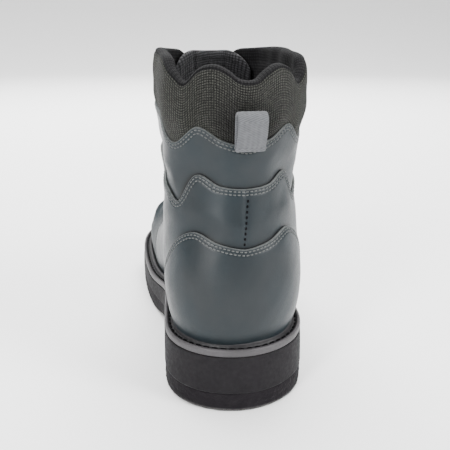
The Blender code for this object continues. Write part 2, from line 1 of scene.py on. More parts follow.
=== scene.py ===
import json
import math
import bmesh
import bpy
import numpy as np
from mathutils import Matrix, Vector

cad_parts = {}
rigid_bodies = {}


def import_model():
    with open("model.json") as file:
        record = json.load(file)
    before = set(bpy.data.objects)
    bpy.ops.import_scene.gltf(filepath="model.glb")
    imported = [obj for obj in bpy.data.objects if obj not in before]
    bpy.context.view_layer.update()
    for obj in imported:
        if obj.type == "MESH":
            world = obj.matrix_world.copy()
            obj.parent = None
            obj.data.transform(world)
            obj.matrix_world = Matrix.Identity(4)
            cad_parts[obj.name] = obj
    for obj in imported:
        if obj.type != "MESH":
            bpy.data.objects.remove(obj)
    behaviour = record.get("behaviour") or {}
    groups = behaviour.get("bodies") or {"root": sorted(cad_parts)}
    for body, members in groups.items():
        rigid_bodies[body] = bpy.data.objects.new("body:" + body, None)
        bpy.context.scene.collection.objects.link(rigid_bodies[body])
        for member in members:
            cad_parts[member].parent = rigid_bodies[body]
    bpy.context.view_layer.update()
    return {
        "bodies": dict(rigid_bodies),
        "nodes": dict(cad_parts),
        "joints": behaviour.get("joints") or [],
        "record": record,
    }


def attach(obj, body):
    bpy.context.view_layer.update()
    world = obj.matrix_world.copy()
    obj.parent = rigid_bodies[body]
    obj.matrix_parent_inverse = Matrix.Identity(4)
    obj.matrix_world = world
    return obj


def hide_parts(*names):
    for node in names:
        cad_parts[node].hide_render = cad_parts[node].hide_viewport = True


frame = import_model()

# Looks of a right wading boot: slate leather panels, padded collar of coarse cloth, rubber and felt sole.
# Metres, toe towards -Y, medial side +X, floor at Z = 0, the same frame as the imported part.
print("frame loaded")

camera = {"place": (0.0909, 0.4827, 0.2327), "aim": (0.0139, 0.0977, 0.1075), "lens": 49.0, "sensor": 36.0}


def standAt(thing, place, aim):
    # links a camera or light, puts it at place and turns its -Z towards aim
    bpy.context.scene.collection.objects.link(thing)
    thing.location = place
    thing.rotation_euler = (Vector(aim) - Vector(place)).to_track_quat("-Z", "Y").to_euler()
    return thing


# camera at the photo's eye point, aimed at the boot
cameraData = bpy.data.cameras.new("camera")
cameraData.lens, cameraData.sensor_width = camera["lens"], camera["sensor"]
bpy.context.scene.camera = standAt(bpy.data.objects.new("camera", cameraData), camera["place"], camera["aim"])

# sizes shared by all pieces: gap is the glue line under the panels, seat the clearance where pieces rest
last = {
    "soleLength": 0.308, "ballWidth": 0.116, "heelWidth": 0.094, "heelHeight": 0.0435, "ballHeight": 0.029,
    "toeSpring": 0.012, "archRise": 0.008, "felt": 0.013, "reveal": 0.009, "collarHeight": 0.204,
    "instepRise": 0.184, "shaftTurn": math.radians(3.5), "ankleShare": 0.20, "wall": 0.0022, "pad": 0.0085,
    "gap": 0.0008, "seat": 0.0003, "bead": 0.0018,
}
# where the sole's profile changes, as shares of its length from the heel
solePlan = {"heelFade": (0.60, 0.24), "topSpring": 0.73, "spring": 0.76,
            "breast": (0.285, 0.330), "jointBreast": (0.26, 0.345), "archEnd": (0.375, 0.540)}
lastLength = last["soleLength"] - 2 * last["reveal"]
lastHeel = last["heelWidth"] - 2 * last["reveal"]
lastBall = last["ballWidth"] - 2 * last["reveal"]
backRise = last["collarHeight"] - last["heelHeight"]

# rings of the upper from welt to collar, shares of the sizes above
ringColumns = "back backRise front frontRise heel ankle waist ball toe tip".split()
ringRows = np.array([
    (0.000, 0.000, 1.000, 0.000, 0.973, 0.626, 0.387, 0.495, 0.606, 0.768),
    (-0.012, 0.068, 1.010, 0.071, 1.027, 0.684, 0.422, 0.510, 0.625, 0.798),
    (-0.017, 0.150, 0.997, 0.141, 1.049, 0.716, 0.438, 0.495, 0.581, 0.755),
    (-0.015, 0.249, 0.948, 0.201, 1.023, 0.727, 0.433, 0.459, 0.485, 0.654),
    (-0.005, 0.355, 0.838, 0.266, 0.919, 0.716, 0.422, 0.392, 0.367, 0.524),
    (0.007, 0.461, 0.707, 0.353, 0.769, 0.680, 0.400, 0.350, 0.300, 0.395),
    (0.017, 0.567, 0.597, 0.467, 0.637, 0.651, 0.387, 0.349, 0.313, 0.369),
    (0.021, 0.673, 0.507, 0.592, 0.555, 0.633, 0.396, 0.367, 0.339, 0.346),
    (0.017, 0.779, 0.445, 0.717, 0.527, 0.644, 0.419, 0.398, 0.372, 0.349),
    (0.009, 0.885, 0.410, 0.837, 0.540, 0.684, 0.454, 0.441, 0.415, 0.366),
    (0.004, 1.000, 0.390, 1.000, 0.548, 0.691, 0.463, 0.455, 0.434, 0.381),
])
swingRow = (0.0, -0.004, -0.026, -0.050, -0.072, -0.088, -0.098, -0.100, -0.090, -0.068, -0.050)
# collar's top edge from the rear dip over a hump and the notch to the wing
collarRow = (1.000, 1.006, 1.028, 1.043, 1.034, 0.996, 1.026, 1.056, 1.067, 1.072, 1.077,
             1.080, 1.081, 1.080, 1.079, 1.077, 1.074, 1.066, 1.052, 1.038, 1.026)
# top edges of the stacked panels, evenly spaced along the reach measured round from the back seam
edgeRows = {
    "counter": (0.522, 0.537, 0.562, 0.527, 0.452, 0.365, 0.275, 0.190, 0.105, 0.040, 0.000),
    "quarter": (0.698, 0.706, 0.733, 0.642, 0.700, 0.742, 0.762, 0.772, 0.778, 0.782, 0.785),
    "band": (0.822, 0.843, 0.878, 0.826, 0.880, 0.908, 0.920, 0.928, 0.938, 0.952, 0.968),
}
edgeReach = 0.155
quarterFront = math.radians(93)
facingBack = math.radians(125)
throat = {"level": 0.50, "round": 0.05, "halfGap": 0.013, "widen": 0.25, "facingTop": 0.93}


def ease(low, high, value):
    # 0 at low, 1 at high, level at both ends
    share = np.clip((value - low) / (high - low), 0.0, 1.0)
    return share * share * (3 - 2 * share)


def roundEdge(distance, radius):
    # quarter circle rising from 0 at the edge to 1 at the radius
    return np.sqrt(1 - (1 - np.clip(distance / radius, 0.0, 1.0)) ** 2)


def curveBetween(first, second, third, fourth, part):
    # Catmull-Rom cubic from the second value at part 0 to the third at part 1
    curve = (third - first) * part + (2 * first - 5 * second + 4 * third - fourth) * part ** 2
    return second + (curve + (3 * second - first - 3 * third + fourth) * part ** 3) / 2


def along(rows, share):
    # smooth curve through evenly spaced rows, read at shares 0..1
    rows = np.asarray(rows, float)
    place = np.clip(share, 0.0, 1.0) * (len(rows) - 1)
    start = np.minimum(place.astype(int), len(rows) - 2)
    before, after = np.maximum(start - 1, 0), np.minimum(start + 2, len(rows) - 1)
    return curveBetween(rows[before], rows[start], rows[start + 1], rows[after], place - start)


def springAt(share, start):
    # toe spring: square of the distance past its start, 1 at the tip
    return np.clip((share - start) / (1 - start), 0.0, 1.0) ** 2


def soleTop(run):
    # height of the sole's top by the distance from the heel: heel eased down to the ball, then toe spring
    share = run / last["soleLength"]
    heel = (last["heelHeight"] - last["ballHeight"]) * ease(*solePlan["heelFade"], share)
    return last["ballHeight"] + heel + 0.8 * last["toeSpring"] * springAt(share, solePlan["topSpring"])


def soleBottom(run):
    # height of the tread: flat heel, breast up to the arch, flat forefoot, toe spring
    share = run / last["soleLength"]
    arch = ease(*solePlan["breast"], share) - ease(*solePlan["archEnd"], share)
    return last["archRise"] * arch + last["toeSpring"] * springAt(share, solePlan["spring"])


def feltTop(run):
    # height of the joint between felt and rubber: the felt's thickness over a softer form of the tread
    share = run / last["soleLength"]
    arch = ease(*solePlan["jointBreast"], share) - ease(*solePlan["archEnd"], share)
    spring = springAt(share, solePlan["spring"])
    return last["felt"] + 0.6 * last["archRise"] * arch + 0.9 * last["toeSpring"] * spring


def ringValue(name, level):
    # one column of the ring table, smoothed between its rows
    return along(ringRows[:, ringColumns.index(name)], level)


def fullness(share, level):
    # half width of a ring over the sine of its angle, a curve through six stations from heel to tip
    sizes = (("heel", lastHeel), ("ankle", lastHeel), ("waist", lastBall),
             ("ball", lastBall), ("toe", lastBall), ("tip", lastBall))
    stations = np.stack([ringValue(name, level) * size for name, size in sizes])
    place = np.clip(share, 0.0, 1.0) * (len(sizes) - 1)
    start = np.minimum(place.astype(int), len(sizes) - 2)
    near = (np.clip(start + step, 0, len(sizes) - 1)[None] for step in (-1, 0, 1, 2))
    return curveBetween(*(np.take_along_axis(stations, index, 0)[0] for index in near), place - start)


def lastPoint(angle, level):
    # tilted closed rings: share of the length by the cosine of the angle, width by its sine, height blended
    # from the back's rise to the instep's, the top ring raised to the collar's edge, the shaft turned
    angle, level = np.broadcast_arrays(np.asarray(angle, float), np.asarray(level, float))
    share = (1 - np.cos(angle)) / 2
    back = last["reveal"] + ringValue("back", level) * lastLength
    front = last["reveal"] + ringValue("front", level) * lastLength
    run = back + (front - back) * share
    side = fullness(share, level) * np.sin(angle)
    swing = along(swingRow, run / last["soleLength"]) * last["ballWidth"] * (1 - ease(0.35, 0.75, level))
    rise = (ringValue("backRise", level) * backRise * (1 - share)
            + ringValue("frontRise", level) * last["instepRise"] * share)
    edge = along(collarRow, np.abs(angle) / math.pi) * last["collarHeight"]
    straight = soleTop(run) + backRise * (1 - share) + last["instepRise"] * share
    height = soleTop(run) + rise + (edge - straight) * ease(0.70, 1.0, level)
    turn = last["shaftTurn"] * ease(0.30, 0.85, level)
    behind = last["ankleShare"] * last["soleLength"] - run
    across = (swing - side) * np.cos(turn) - behind * np.sin(turn)
    behind = (swing - side) * np.sin(turn) + behind * np.cos(turn)
    return np.stack([across, (0.5 - last["ankleShare"]) * last["soleLength"] + behind, height], -1)


def unit(vectors):
    # each vector over its own length
    return vectors / np.maximum(np.linalg.norm(vectors, axis=-1, keepdims=True), 1e-12)


def lastNormal(angle, level):
    # cross product of the two directions of the surface, by small differences
    level = np.clip(level, 0.0, 1.0)
    low, high = np.maximum(level - 1e-3, 0.0), np.minimum(level + 1e-3, 1.0)
    return unit(np.cross(lastPoint(angle + 1e-3, level) - lastPoint(angle - 1e-3, level),
                         lastPoint(angle, high) - lastPoint(angle, low)))


def footRing(count):
    # the upper's foot line in plan, and the direction straight out of it
    angles = np.linspace(0.0, 2 * math.pi, count, endpoint=False)
    plan = lastPoint(angles, 0.0)[:, :2]
    turn = np.roll(plan, -1, 0) - np.roll(plan, 1, 0)
    return plan, unit(np.stack([turn[:, 1], -turn[:, 0]], -1))


# the foot line's widest points at the CAD's own 48 columns, which the part is centred on
cadPlan, cadOut = footRing(48)
cadEdge = cadPlan[:, 0] + last["reveal"] * cadOut[:, 0]
toMiddle = np.array([-(cadEdge.max() + cadEdge.min()) / 2, 0.0, 0.0])


def skin(angle, level, lift=0.0):
    # point of the upper's outside, lifted along its normal, in the part's own frame
    angle, level = np.broadcast_arrays(np.asarray(angle, float), np.asarray(level, float))
    return lastPoint(angle, level) + lastNormal(angle, level) * np.asarray(lift)[..., None] + toMiddle


# fine table of the upper's one half: heights, and distances measured round it from the back seam
fineAngles = np.linspace(0.0, math.pi, 361)
fineLevels = np.linspace(0.0, 1.0, 401)
finePoints = lastPoint(fineAngles[:, None], fineLevels[None, :])
fineSteps = np.linalg.norm(np.diff(finePoints[..., :2], axis=0), axis=-1)
fineRound = np.vstack([np.zeros(len(fineLevels)), np.cumsum(fineSteps, axis=0)])


def edgeLevel(angle, name, shift=0.0):
    # level at which the upper first reaches a panel's top edge plus a shift, at each angle
    edge = along(edgeRows[name], fineRound / edgeReach) * last["collarHeight"] + shift
    above = finePoints[..., 2] - edge
    first = np.where(np.any(above >= 0, axis=1), np.argmax(above >= 0, axis=1), len(fineLevels) - 1)
    before = np.maximum(first - 1, 0)
    index = np.arange(len(fineAngles))
    span = above[index, first] - above[index, before]
    part = np.where(first > 0, -above[index, before] / np.where(span == 0, 1.0, span), 0.0)
    found = fineLevels[before] + part * (fineLevels[first] - fineLevels[before])
    return np.interp(np.abs(angle), fineAngles, np.clip(found, 0.0, 1.0))


def throatHalf(level):
    # half width of the throat: a quarter circle at its lower end, then slowly wider
    share = np.clip((level - throat["level"]) / throat["round"], 0.0, 1.0)
    wider = throat["widen"] * np.clip(level - throat["level"], 0.0, 1.0)
    return throat["halfGap"] * (np.sqrt(1 - (1 - share) ** 2) + wider)


def sideAngle(offset, level):
    # angle near the front that lies an offset from the middle line, by the arc sine
    return math.pi - np.arcsin(np.clip(offset / fullness(np.ones_like(level), level), 0.0, 1.0))


def ripple(points, size, seed):
    # smooth wandering value between about -1 and 1: a sum of sines in random directions, size metres long
    draw = np.random.default_rng(seed)
    total = np.zeros(points.shape[:-1])
    for _ in range(7):
        direction = draw.normal(size=3)
        direction *= 2 * math.pi / size * draw.uniform(0.6, 1.6) / np.linalg.norm(direction)
        total += np.sin(points @ direction + draw.uniform(0, 2 * math.pi))
    return total / 3.2


# creases of a worn boot, each from and to (angle in degrees, level), its depth and half width
creases = [
    ((128, 0.16), (166, 0.20), 0.0013, 0.0042), ((122, 0.11), (160, 0.13), 0.0009, 0.0034),
    ((-128, 0.15), (-168, 0.21), 0.0014, 0.0044), ((-120, 0.10), (-158, 0.14), 0.0009, 0.0034),
    ((134, 0.28), (176, 0.30), 0.0010, 0.0046), ((-136, 0.27), (-177, 0.31), 0.0010, 0.0046),
    ((44, 0.58), (92, 0.52), 0.0006, 0.0060), ((-40, 0.60), (-90, 0.53), 0.0006, 0.0060),
    ((50, 0.66), (88, 0.64), 0.0005, 0.0050), ((-52, 0.67), (-92, 0.64), 0.0005, 0.0050),
    ((60, 0.40), (100, 0.38), 0.0006, 0.0060), ((-58, 0.41), (-98, 0.38), 0.0006, 0.0060),
    ((2, 0.57), (4, 0.80), 0.0005, 0.0070), ((-22, 0.74), (-30, 0.86), 0.0003, 0.0050),
]
creaseForm = {"points": 13, "sag": 0.012, "ridge": 0.55, "beside": 1.6, "uneven": 0.5, "fade": 0.7,
              "weltFade": (0.01, 0.08)}


def creaseLift(angle, level):
    # lift of the leather at the creases: minus the depth times a bell across the line, plus a lower bell
    # beside it, higher on its upper side; both fade with the sine along the line, and out at the welt
    angle, level = np.broadcast_arrays(angle, level)
    flat = lastPoint(angle, level)
    total = np.zeros(angle.shape)
    share = np.linspace(0.0, 1.0, creaseForm["points"])
    for start, end, depth, wide in creases:
        turn = start[0] + (end[0] - start[0]) * share
        rise = start[1] + (end[1] - start[1]) * share + creaseForm["sag"] * np.sin(math.pi * share)
        line = lastPoint(np.radians(turn), rise)
        near = np.full(angle.shape, 1.0)
        place, side = np.zeros(angle.shape), np.zeros(angle.shape)
        for index in range(len(line) - 1):
            step = line[index + 1] - line[index]
            part = np.clip((flat - line[index]) @ step / (step @ step), 0.0, 1.0)
            offset = flat - line[index] - part[..., None] * step
            away = np.linalg.norm(offset, axis=-1)
            closer = away < near
            near = np.where(closer, away, near)
            place = np.where(closer, (index + part) / (len(line) - 1), place)
            side = np.where(closer, offset[..., 2], side)
        fade = np.sin(math.pi * np.clip(place, 0.02, 0.98)) ** creaseForm["fade"]
        trough = np.exp(-(near / wide) ** 2)
        ridge = creaseForm["ridge"] * np.exp(-((near - creaseForm["beside"] * wide) / wide) ** 2)
        total += depth * fade * (ridge * (1 + creaseForm["uneven"] * np.tanh(side / wide)) - trough)
    return total * ease(*creaseForm["weltFade"], level)


# mesh helpers
def makeMesh(name, points, quads, others=()):
    # object from an array of points, an array of quads and a few other faces
    mesh = bpy.data.meshes.new(name)
    mesh.from_pydata(points.reshape(-1, 3).tolist(), [], quads.tolist() + [list(face) for face in others])
    thing = bpy.data.objects.new(name, mesh)
    bpy.context.scene.collection.objects.link(thing)
    mesh.shade_smooth()
    return thing


def setValue(thing, name, values):
    # one number for each vertex, read by the materials
    layer = thing.data.attributes.new(name, "FLOAT", "POINT")
    layer.data.foreach_set("value", np.asarray(values, np.float32).ravel())


def setUv(thing, pairs):
    # one pair of coordinates for each vertex, written to the corners
    mesh = thing.data
    corners = np.empty(len(mesh.loops), np.int32)
    mesh.loops.foreach_get("vertex_index", corners)
    layer = mesh.uv_layers.new(name="weave")
    layer.data.foreach_set("uv", np.asarray(pairs, np.float32).reshape(-1, 2)[corners].ravel())


def weld(thing, distance=1e-6):
    # joins vertices at the same place and drops faces without area
    build = bmesh.new()
    build.from_mesh(thing.data)
    bmesh.ops.remove_doubles(build, verts=build.verts, dist=distance)
    bmesh.ops.dissolve_degenerate(build, edges=build.edges, dist=distance / 10)
    build.to_mesh(thing.data)
    build.free()
    thing.data.shade_smooth()


def turnOutwards(thing):
    # faces of a closed piece turned to point out of it
    build = bmesh.new()
    build.from_mesh(thing.data)
    bmesh.ops.recalc_face_normals(build, faces=build.faces)
    build.to_mesh(thing.data)
    build.free()


def gridQuads(rows, columns, wrap=False):
    # quads between neighbouring rows and columns of a grid
    index = np.arange(rows * columns).reshape(rows, columns)
    right = np.roll(index, -1, 1) if wrap else index[:, 1:]
    left = index if wrap else index[:, :-1]
    return np.stack([left[:-1], right[:-1], right[1:], left[1:]], -1).reshape(-1, 4)


def closedSheet(outer, inner, sidesFrom=0):
    # wall between two like grids: the outer one, the inner one turned round, and strips along the edges,
    # those at the sides from a row upwards
    rows, columns = outer.shape[:2]
    quads = gridQuads(rows, columns)
    up = np.arange(rows * columns).reshape(rows, columns)
    down = up + rows * columns
    foot = np.stack([up[0, 1:], up[0, :-1], down[0, :-1], down[0, 1:]], -1)
    head = np.stack([up[-1, :-1], up[-1, 1:], down[-1, 1:], down[-1, :-1]], -1)
    low, high = slice(sidesFrom, -1), slice(sidesFrom + 1, None)
    left = np.stack([up[low, 0], up[high, 0], down[high, 0], down[low, 0]], -1)
    right = np.stack([up[high, -1], up[low, -1], down[low, -1], down[high, -1]], -1)
    points = np.concatenate([outer.reshape(-1, 3), inner.reshape(-1, 3)])
    return points, np.concatenate([quads, quads[:, ::-1] + rows * columns, foot, head, left, right])


def tube(path, radius, sides, flat):
    # a ring of cosine and sine carried along the path, square to its direction; the ends are capped
    forward = unit(np.gradient(path, axis=0))
    side = unit(np.cross(forward, [0.0, 0.0, 1.0]))
    up = np.cross(side, forward)
    turn = np.linspace(0, 2 * math.pi, sides, endpoint=False)
    ring = side[:, None] * np.cos(turn)[None, :, None] + up[:, None] * np.sin(turn)[None, :, None] * flat
    points = path[:, None] + ring * radius[:, None, None]
    end = len(path) * sides
    caps = [tuple(range(sides)), tuple(range(end - 1, end - sides - 1, -1))]
    return points, gridQuads(len(path), sides, True)[:, ::-1], caps


def runOf(path):
    # distance along a path at each of its points
    return np.concatenate([[0.0], np.cumsum(np.linalg.norm(np.diff(path, axis=0), axis=1))])


def climbOf(sheet):
    # distance up each column of a grid, from its first row
    steps = np.cumsum(np.linalg.norm(np.diff(sheet, axis=0), axis=-1), axis=0)
    return np.concatenate([np.zeros((1, sheet.shape[1])), steps])


def resample(path, normals, step):
    # points along a path at about even steps, with their normals
    run = runOf(path)
    count = max(int(round(run[-1] / step)), 2)
    places = (np.arange(count) + 0.5) * run[-1] / count
    found = np.stack([np.interp(places, run, path[:, axis]) for axis in range(3)], -1)
    return found, unit(np.stack([np.interp(places, run, normals[:, axis]) for axis in range(3)], -1))


def stitchMesh(name, rows, size):
    # one small pill per stitch, its ends rounded by a power and its middle bowed up, turned to the row's
    # direction and the surface's normal
    share = np.linspace(-1.0, 1.0, 7)
    turn = np.linspace(0, 2 * math.pi, 6, endpoint=False)
    swell = np.sqrt(np.clip(1 - np.abs(share) ** 3.5, 0.02, 1.0))[:, None]
    bow = (size["high"] * 0.35 * (1 - share ** 2))[:, None]
    ahead = np.repeat(share * size["length"] / 2, len(turn))[None, :, None]
    aside = (swell * np.cos(turn) * size["wide"] / 2).ravel()[None, :, None]
    above = (swell * np.sin(turn) * size["high"] / 2 + bow).ravel()[None, :, None]
    centres, frames = [], []
    for path, normals in rows:
        place, normal = resample(path, normals, size["pitch"])
        forward = unit(np.gradient(place, axis=0))
        centres.append(place)
        frames.append((forward, np.cross(normal, forward), normal))
    centre = np.concatenate(centres)[:, None]
    forward, side, normal = (np.concatenate([frame[axis] for frame in frames])[:, None] for axis in range(3))
    points = centre + forward * ahead + side * aside + normal * above
    each = len(share) * len(turn)
    starts = (np.arange(len(centre)) * each)[:, None, None]
    quads = (gridQuads(len(share), len(turn), True)[None] + starts).reshape(-1, 4)
    caps = np.array([range(len(turn) - 1, -1, -1), range(each - len(turn), each)])
    others = (caps[None] + starts).reshape(-1, len(turn))
    return makeMesh(name, points, quads, others.tolist())


def dress(thing, materials, nodes=(), faceSlots=None):
    # materials, the slot of each face, the CAD nodes this piece stands for, and its ride
    for material in materials:
        thing.data.materials.append(material)
    if faceSlots is not None:
        thing.data.polygons.foreach_set("material_index", np.asarray(faceSlots, np.int32))
    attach(thing, "root")
    if nodes:
        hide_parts(*nodes)
    return thing


# node groups, built once and placed in each material with its own values
def addNode(tree, kind, values=None, **settings):
    # one node: settings on the node itself; on its inputs a socket is linked and anything else is set
    node = tree.nodes.new(kind)
    for key, value in settings.items():
        setattr(node, key, value)
    for key, value in (values or {}).items():
        if hasattr(value, "links"):
            tree.links.new(value, node.inputs[key])
        else:
            node.inputs[key].default_value = value
    return node


def calc(tree, operation, *values, clamp=False):
    # math node on sockets or numbers
    node = addNode(tree, "ShaderNodeMath", dict(enumerate(values)), operation=operation, use_clamp=clamp)
    return node.outputs[0]


def blendColor(tree, mask, low, high):
    # low where the mask is 0, high where it is 1
    return addNode(tree, "ShaderNodeMix", {0: mask, 6: low, 7: high}, data_type="RGBA").outputs[2]


def rampValue(tree, value, low, high, start=0.0, end=1.0):
    # straight ramp from start at low to end at high, held outside
    return addNode(tree, "ShaderNodeMapRange", {0: value, 1: low, 2: high, 3: start, 4: end}).outputs[0]


def noiseNode(tree, place, scale, detail, roughness=0.5):
    # noise of a scale, in waves per metre, around 0.5
    return addNode(tree, "ShaderNodeTexNoise", {"Vector": place, "Scale": scale, "Detail": detail,
                                                "Roughness": roughness}).outputs[0]


def objectPlace(tree):
    # metres in the boot's own frame
    return addNode(tree, "ShaderNodeTexCoord").outputs["Object"]


def pieceValue(tree, name):
    # a value that the piece's vertices carry
    return addNode(tree, "ShaderNodeAttribute", attribute_name=name).outputs["Fac"]


def newGroup(name, inputs, outputs):
    # empty group with number sockets, its input node and its output node
    tree = bpy.data.node_groups.new(name, "ShaderNodeTree")
    for label, value in inputs.items():
        tree.interface.new_socket(label, in_out="INPUT", socket_type="NodeSocketFloat").default_value = value
    for label in outputs:
        tree.interface.new_socket(label, in_out="OUTPUT", socket_type="NodeSocketFloat")
    return tree, tree.nodes.new("NodeGroupInput").outputs, tree.nodes.new("NodeGroupOutput").inputs


def makeGrain():
    # fine pebbles with a wandering tone: cells for the pebbles, noise for pores and patches
    tree, given, result = newGroup("leatherGrain", {"Cells": 1500.0, "Patches": 26.0},
                                   ("Height", "Tone", "Pores"))
    place = objectPlace(tree)
    cells = addNode(tree, "ShaderNodeTexVoronoi", {"Vector": place, "Scale": given["Cells"],
                                                   "Randomness": 0.9}, feature="SMOOTH_F1")
    pores = noiseNode(tree, place, calc(tree, "MULTIPLY", given["Cells"], 0.45), 4.0, 0.6)
    patches = noiseNode(tree, place, given["Patches"], 3.0, 0.55)
    tree.links.new(calc(tree, "MULTIPLY_ADD", cells.outputs["Distance"], -0.6, pores), result["Height"])
    tree.links.new(rampValue(tree, patches, 0.35, 0.65), result["Tone"])
    tree.links.new(rampValue(tree, pores, 0.3, 0.7), result["Pores"])
    return tree


def makeWeave():
    # crossed threads on the piece's own coordinates: absolute sines of the two directions multiplied, dark in
    # the gaps, their line drifting and their strength uneven by noise
    tree, given, result = newGroup("crossWeave", {"Across": 700.0, "Up": 700.0, "Uneven": 0.35, "Slant": 0.0,
                                                  "Plain": 0.0}, ("Height", "Thread"))
    place = addNode(tree, "ShaderNodeUVMap", uv_map="weave").outputs[0]
    drift = calc(tree, "MULTIPLY", calc(tree, "SUBTRACT", noiseNode(tree, place, 90.0, 2.0), 0.5), 0.8)
    split = addNode(tree, "ShaderNodeSeparateXYZ", {0: place}).outputs
    leaned = calc(tree, "MULTIPLY_ADD", split[1], given["Slant"], split[0])
    across = calc(tree, "ADD", calc(tree, "MULTIPLY", leaned, given["Across"]), drift)
    up = calc(tree, "ADD", calc(tree, "MULTIPLY", split[1], given["Up"]), drift)
    warp = calc(tree, "ABSOLUTE", calc(tree, "SINE", calc(tree, "MULTIPLY", across, math.pi)))
    weft = calc(tree, "ABSOLUTE", calc(tree, "SINE", calc(tree, "MULTIPLY", up, math.pi)))
    weft = calc(tree, "MAXIMUM", weft, given["Plain"])
    knot = calc(tree, "MULTIPLY", calc(tree, "POWER", warp, 0.8), calc(tree, "POWER", weft, 0.8))
    speck = noiseNode(tree, place, calc(tree, "MULTIPLY", given["Across"], 0.8), 1.0)
    strength = calc(tree, "MULTIPLY", given["Uneven"], 3.0)
    uneven = calc(tree, "MULTIPLY", calc(tree, "SUBTRACT", speck, 0.5), strength)
    tree.links.new(knot, result["Height"])
    tree.links.new(calc(tree, "MULTIPLY", knot, calc(tree, "ADD", 1.0, uneven), clamp=True), result["Thread"])
    return tree


def makeWearAndPaintedLight():
    # the piece's own edge value broken up by noise, and dust in patches. The edge value marks rubbed rims of
    # felt and rubber, the pale cut edge of leather, partly its own tone and partly a painted highlight, and
    # painted shade in the welt's channel and beside the upper
    tree, given, result = newGroup("edgeWearAndPaintedLight", {"Spread": 0.5, "Dust": 0.4}, ("Edge", "Dust"))
    place = objectPlace(tree)
    broken = rampValue(tree, noiseNode(tree, place, 420.0, 4.0), 0.3, 0.6, 0.5, 1.0)
    cloud = rampValue(tree, noiseNode(tree, place, 55.0, 6.0, 0.7), 0.48, 0.75)
    markedEdge = calc(tree, "MULTIPLY", pieceValue(tree, "edge"), broken)
    tree.links.new(calc(tree, "MULTIPLY", markedEdge, given["Spread"], clamp=True), result["Edge"])
    tree.links.new(calc(tree, "MULTIPLY", cloud, given["Dust"]), result["Dust"])
    return tree


grainGroup, weaveGroup, wearAndPaintedLightGroup = makeGrain(), makeWeave(), makeWearAndPaintedLight()


def placeGroup(tree, group, values):
    # a group in a material, with that material's values
    return addNode(tree, "ShaderNodeGroup", values, node_tree=group).outputs


def placeBump(tree, height, strength, depth, under=None):
    # normal raised by a height, on top of another normal where one is given
    values = {"Height": height, "Strength": strength, "Distance": depth}
    if under is not None:
        values["Normal"] = under
    return addNode(tree, "ShaderNodeBump", values).outputs[0]


def startMaterial(name, rough, shine=0.5, sheen=0.0):
    # new node material with its plain values on the shader's own sockets
    material = bpy.data.materials.new(name)
    material.use_nodes = True
    shader = material.node_tree.nodes["Principled BSDF"].inputs
    shader["Roughness"].default_value = rough
    shader["Specular IOR Level"].default_value = shine
    shader["Sheen Weight"].default_value = sheen
    return material, material.node_tree, shader


def tintedBody(tree, look):
    # what leather, rubber, felt and welt share: two close tints, pale dust, an edge of its own tone, on
    # leather partly a painted highlight and on the welt painted shade in its channel
    grain = placeGroup(tree, grainGroup, {"Cells": look["cells"], "Patches": look["patches"]})
    edgeAndDust = placeGroup(tree, wearAndPaintedLightGroup, {"Spread": look["edge"], "Dust": look["dust"]})
    tint = blendColor(tree, grain["Tone"], look["cool"], look["warm"])
    dusty = blendColor(tree, edgeAndDust["Dust"], tint, look["pale"])
    return grain, edgeAndDust, blendColor(tree, edgeAndDust["Edge"], dusty, look["edgeTone"])


def leatherMaterial(name, look):
    # satin slate leather: pale rough cut edge, partly its own tone and partly a painted highlight, painted
    # shade where pieces meet, fine pebbles over soft waves
    material, tree, shader = startMaterial(name, look["rough"], look["shine"])
    grain, edgeAndDust, edgeToned = tintedBody(tree, look)
    tree.links.new(blendColor(tree, pieceValue(tree, "paintedShade"), edgeToned, look["deep"]), shader["Base Color"])
    poreRough = look["poreRough"]
    rough = calc(tree, "MULTIPLY_ADD", grain["Pores"], poreRough, look["rough"] - poreRough / 2)
    markedEdge = calc(tree, "MULTIPLY", edgeAndDust["Edge"], look["rubbedRough"])
    tree.links.new(calc(tree, "ADD", rough, markedEdge), shader["Roughness"])
    swell = noiseNode(tree, objectPlace(tree), look["waveScale"], 2.0)
    waves = placeBump(tree, swell, look["waves"], look["waveDepth"])
    tree.links.new(placeBump(tree, grain["Height"], look["bump"], look["depth"], waves), shader["Normal"])
    return material


def wovenMaterial(name, look):
    # cloth: threads light on dark gaps, dulled in patches, painted shade where pieces meet
    material, tree, shader = startMaterial(name, look["rough"], clothLook["shine"], look["sheen"])
    weave = placeGroup(tree, weaveGroup, {
        "Across": look["across"], "Up": look["up"], "Uneven": look["uneven"], "Slant": look.get("slant", 0.0),
        "Plain": look.get("plain", 0.0)})
    edgeAndDust = placeGroup(tree, wearAndPaintedLightGroup, {"Spread": 1.0, "Dust": look["dust"]})
    threads = blendColor(tree, rampValue(tree, weave["Thread"], *look["dots"]), look["gap"], look["thread"])
    dusty = blendColor(tree, edgeAndDust["Dust"], threads, look["dull"])
    shaded = blendColor(tree, pieceValue(tree, "paintedShade"), dusty, clothLook["deep"])
    tree.links.new(shaded, shader["Base Color"])
    tree.links.new(placeBump(tree, weave["Height"], look["bump"], look["depth"]), shader["Normal"])
    return material


def mouldedMaterial(name, look):
    # rubber, felt or welt: grainy body, another tone along its edge value, on the welt painted shade in its
    # channel, dust in patches
    material, tree, shader = startMaterial(name, look["rough"], look["shine"], look["sheen"])
    grain, _, edgeToned = tintedBody(tree, look)
    tree.links.new(edgeToned, shader["Base Color"])
    tree.links.new(calc(tree, "MULTIPLY_ADD", grain["Pores"], 0.2, look["rough"] - 0.1), shader["Roughness"])
    tree.links.new(placeBump(tree, grain["Height"], look["bump"], look["depth"]), shader["Normal"])
    return material


def cordMaterial(name, look):
    # yarn: fine fibres by noise, from the colour down to a darker one
    material, tree, shader = startMaterial(name, look["rough"], look["shine"], look["sheen"])
    fibre = noiseNode(tree, objectPlace(tree), look["fibre"], 3.0)
    dark = tuple(part * 0.55 for part in look["color"][:3]) + (1.0,)
    tree.links.new(blendColor(tree, fibre, dark, look["color"]), shader["Base Color"])
    tree.links.new(placeBump(tree, fibre, 0.6, 0.0003), shader["Normal"])
    return material
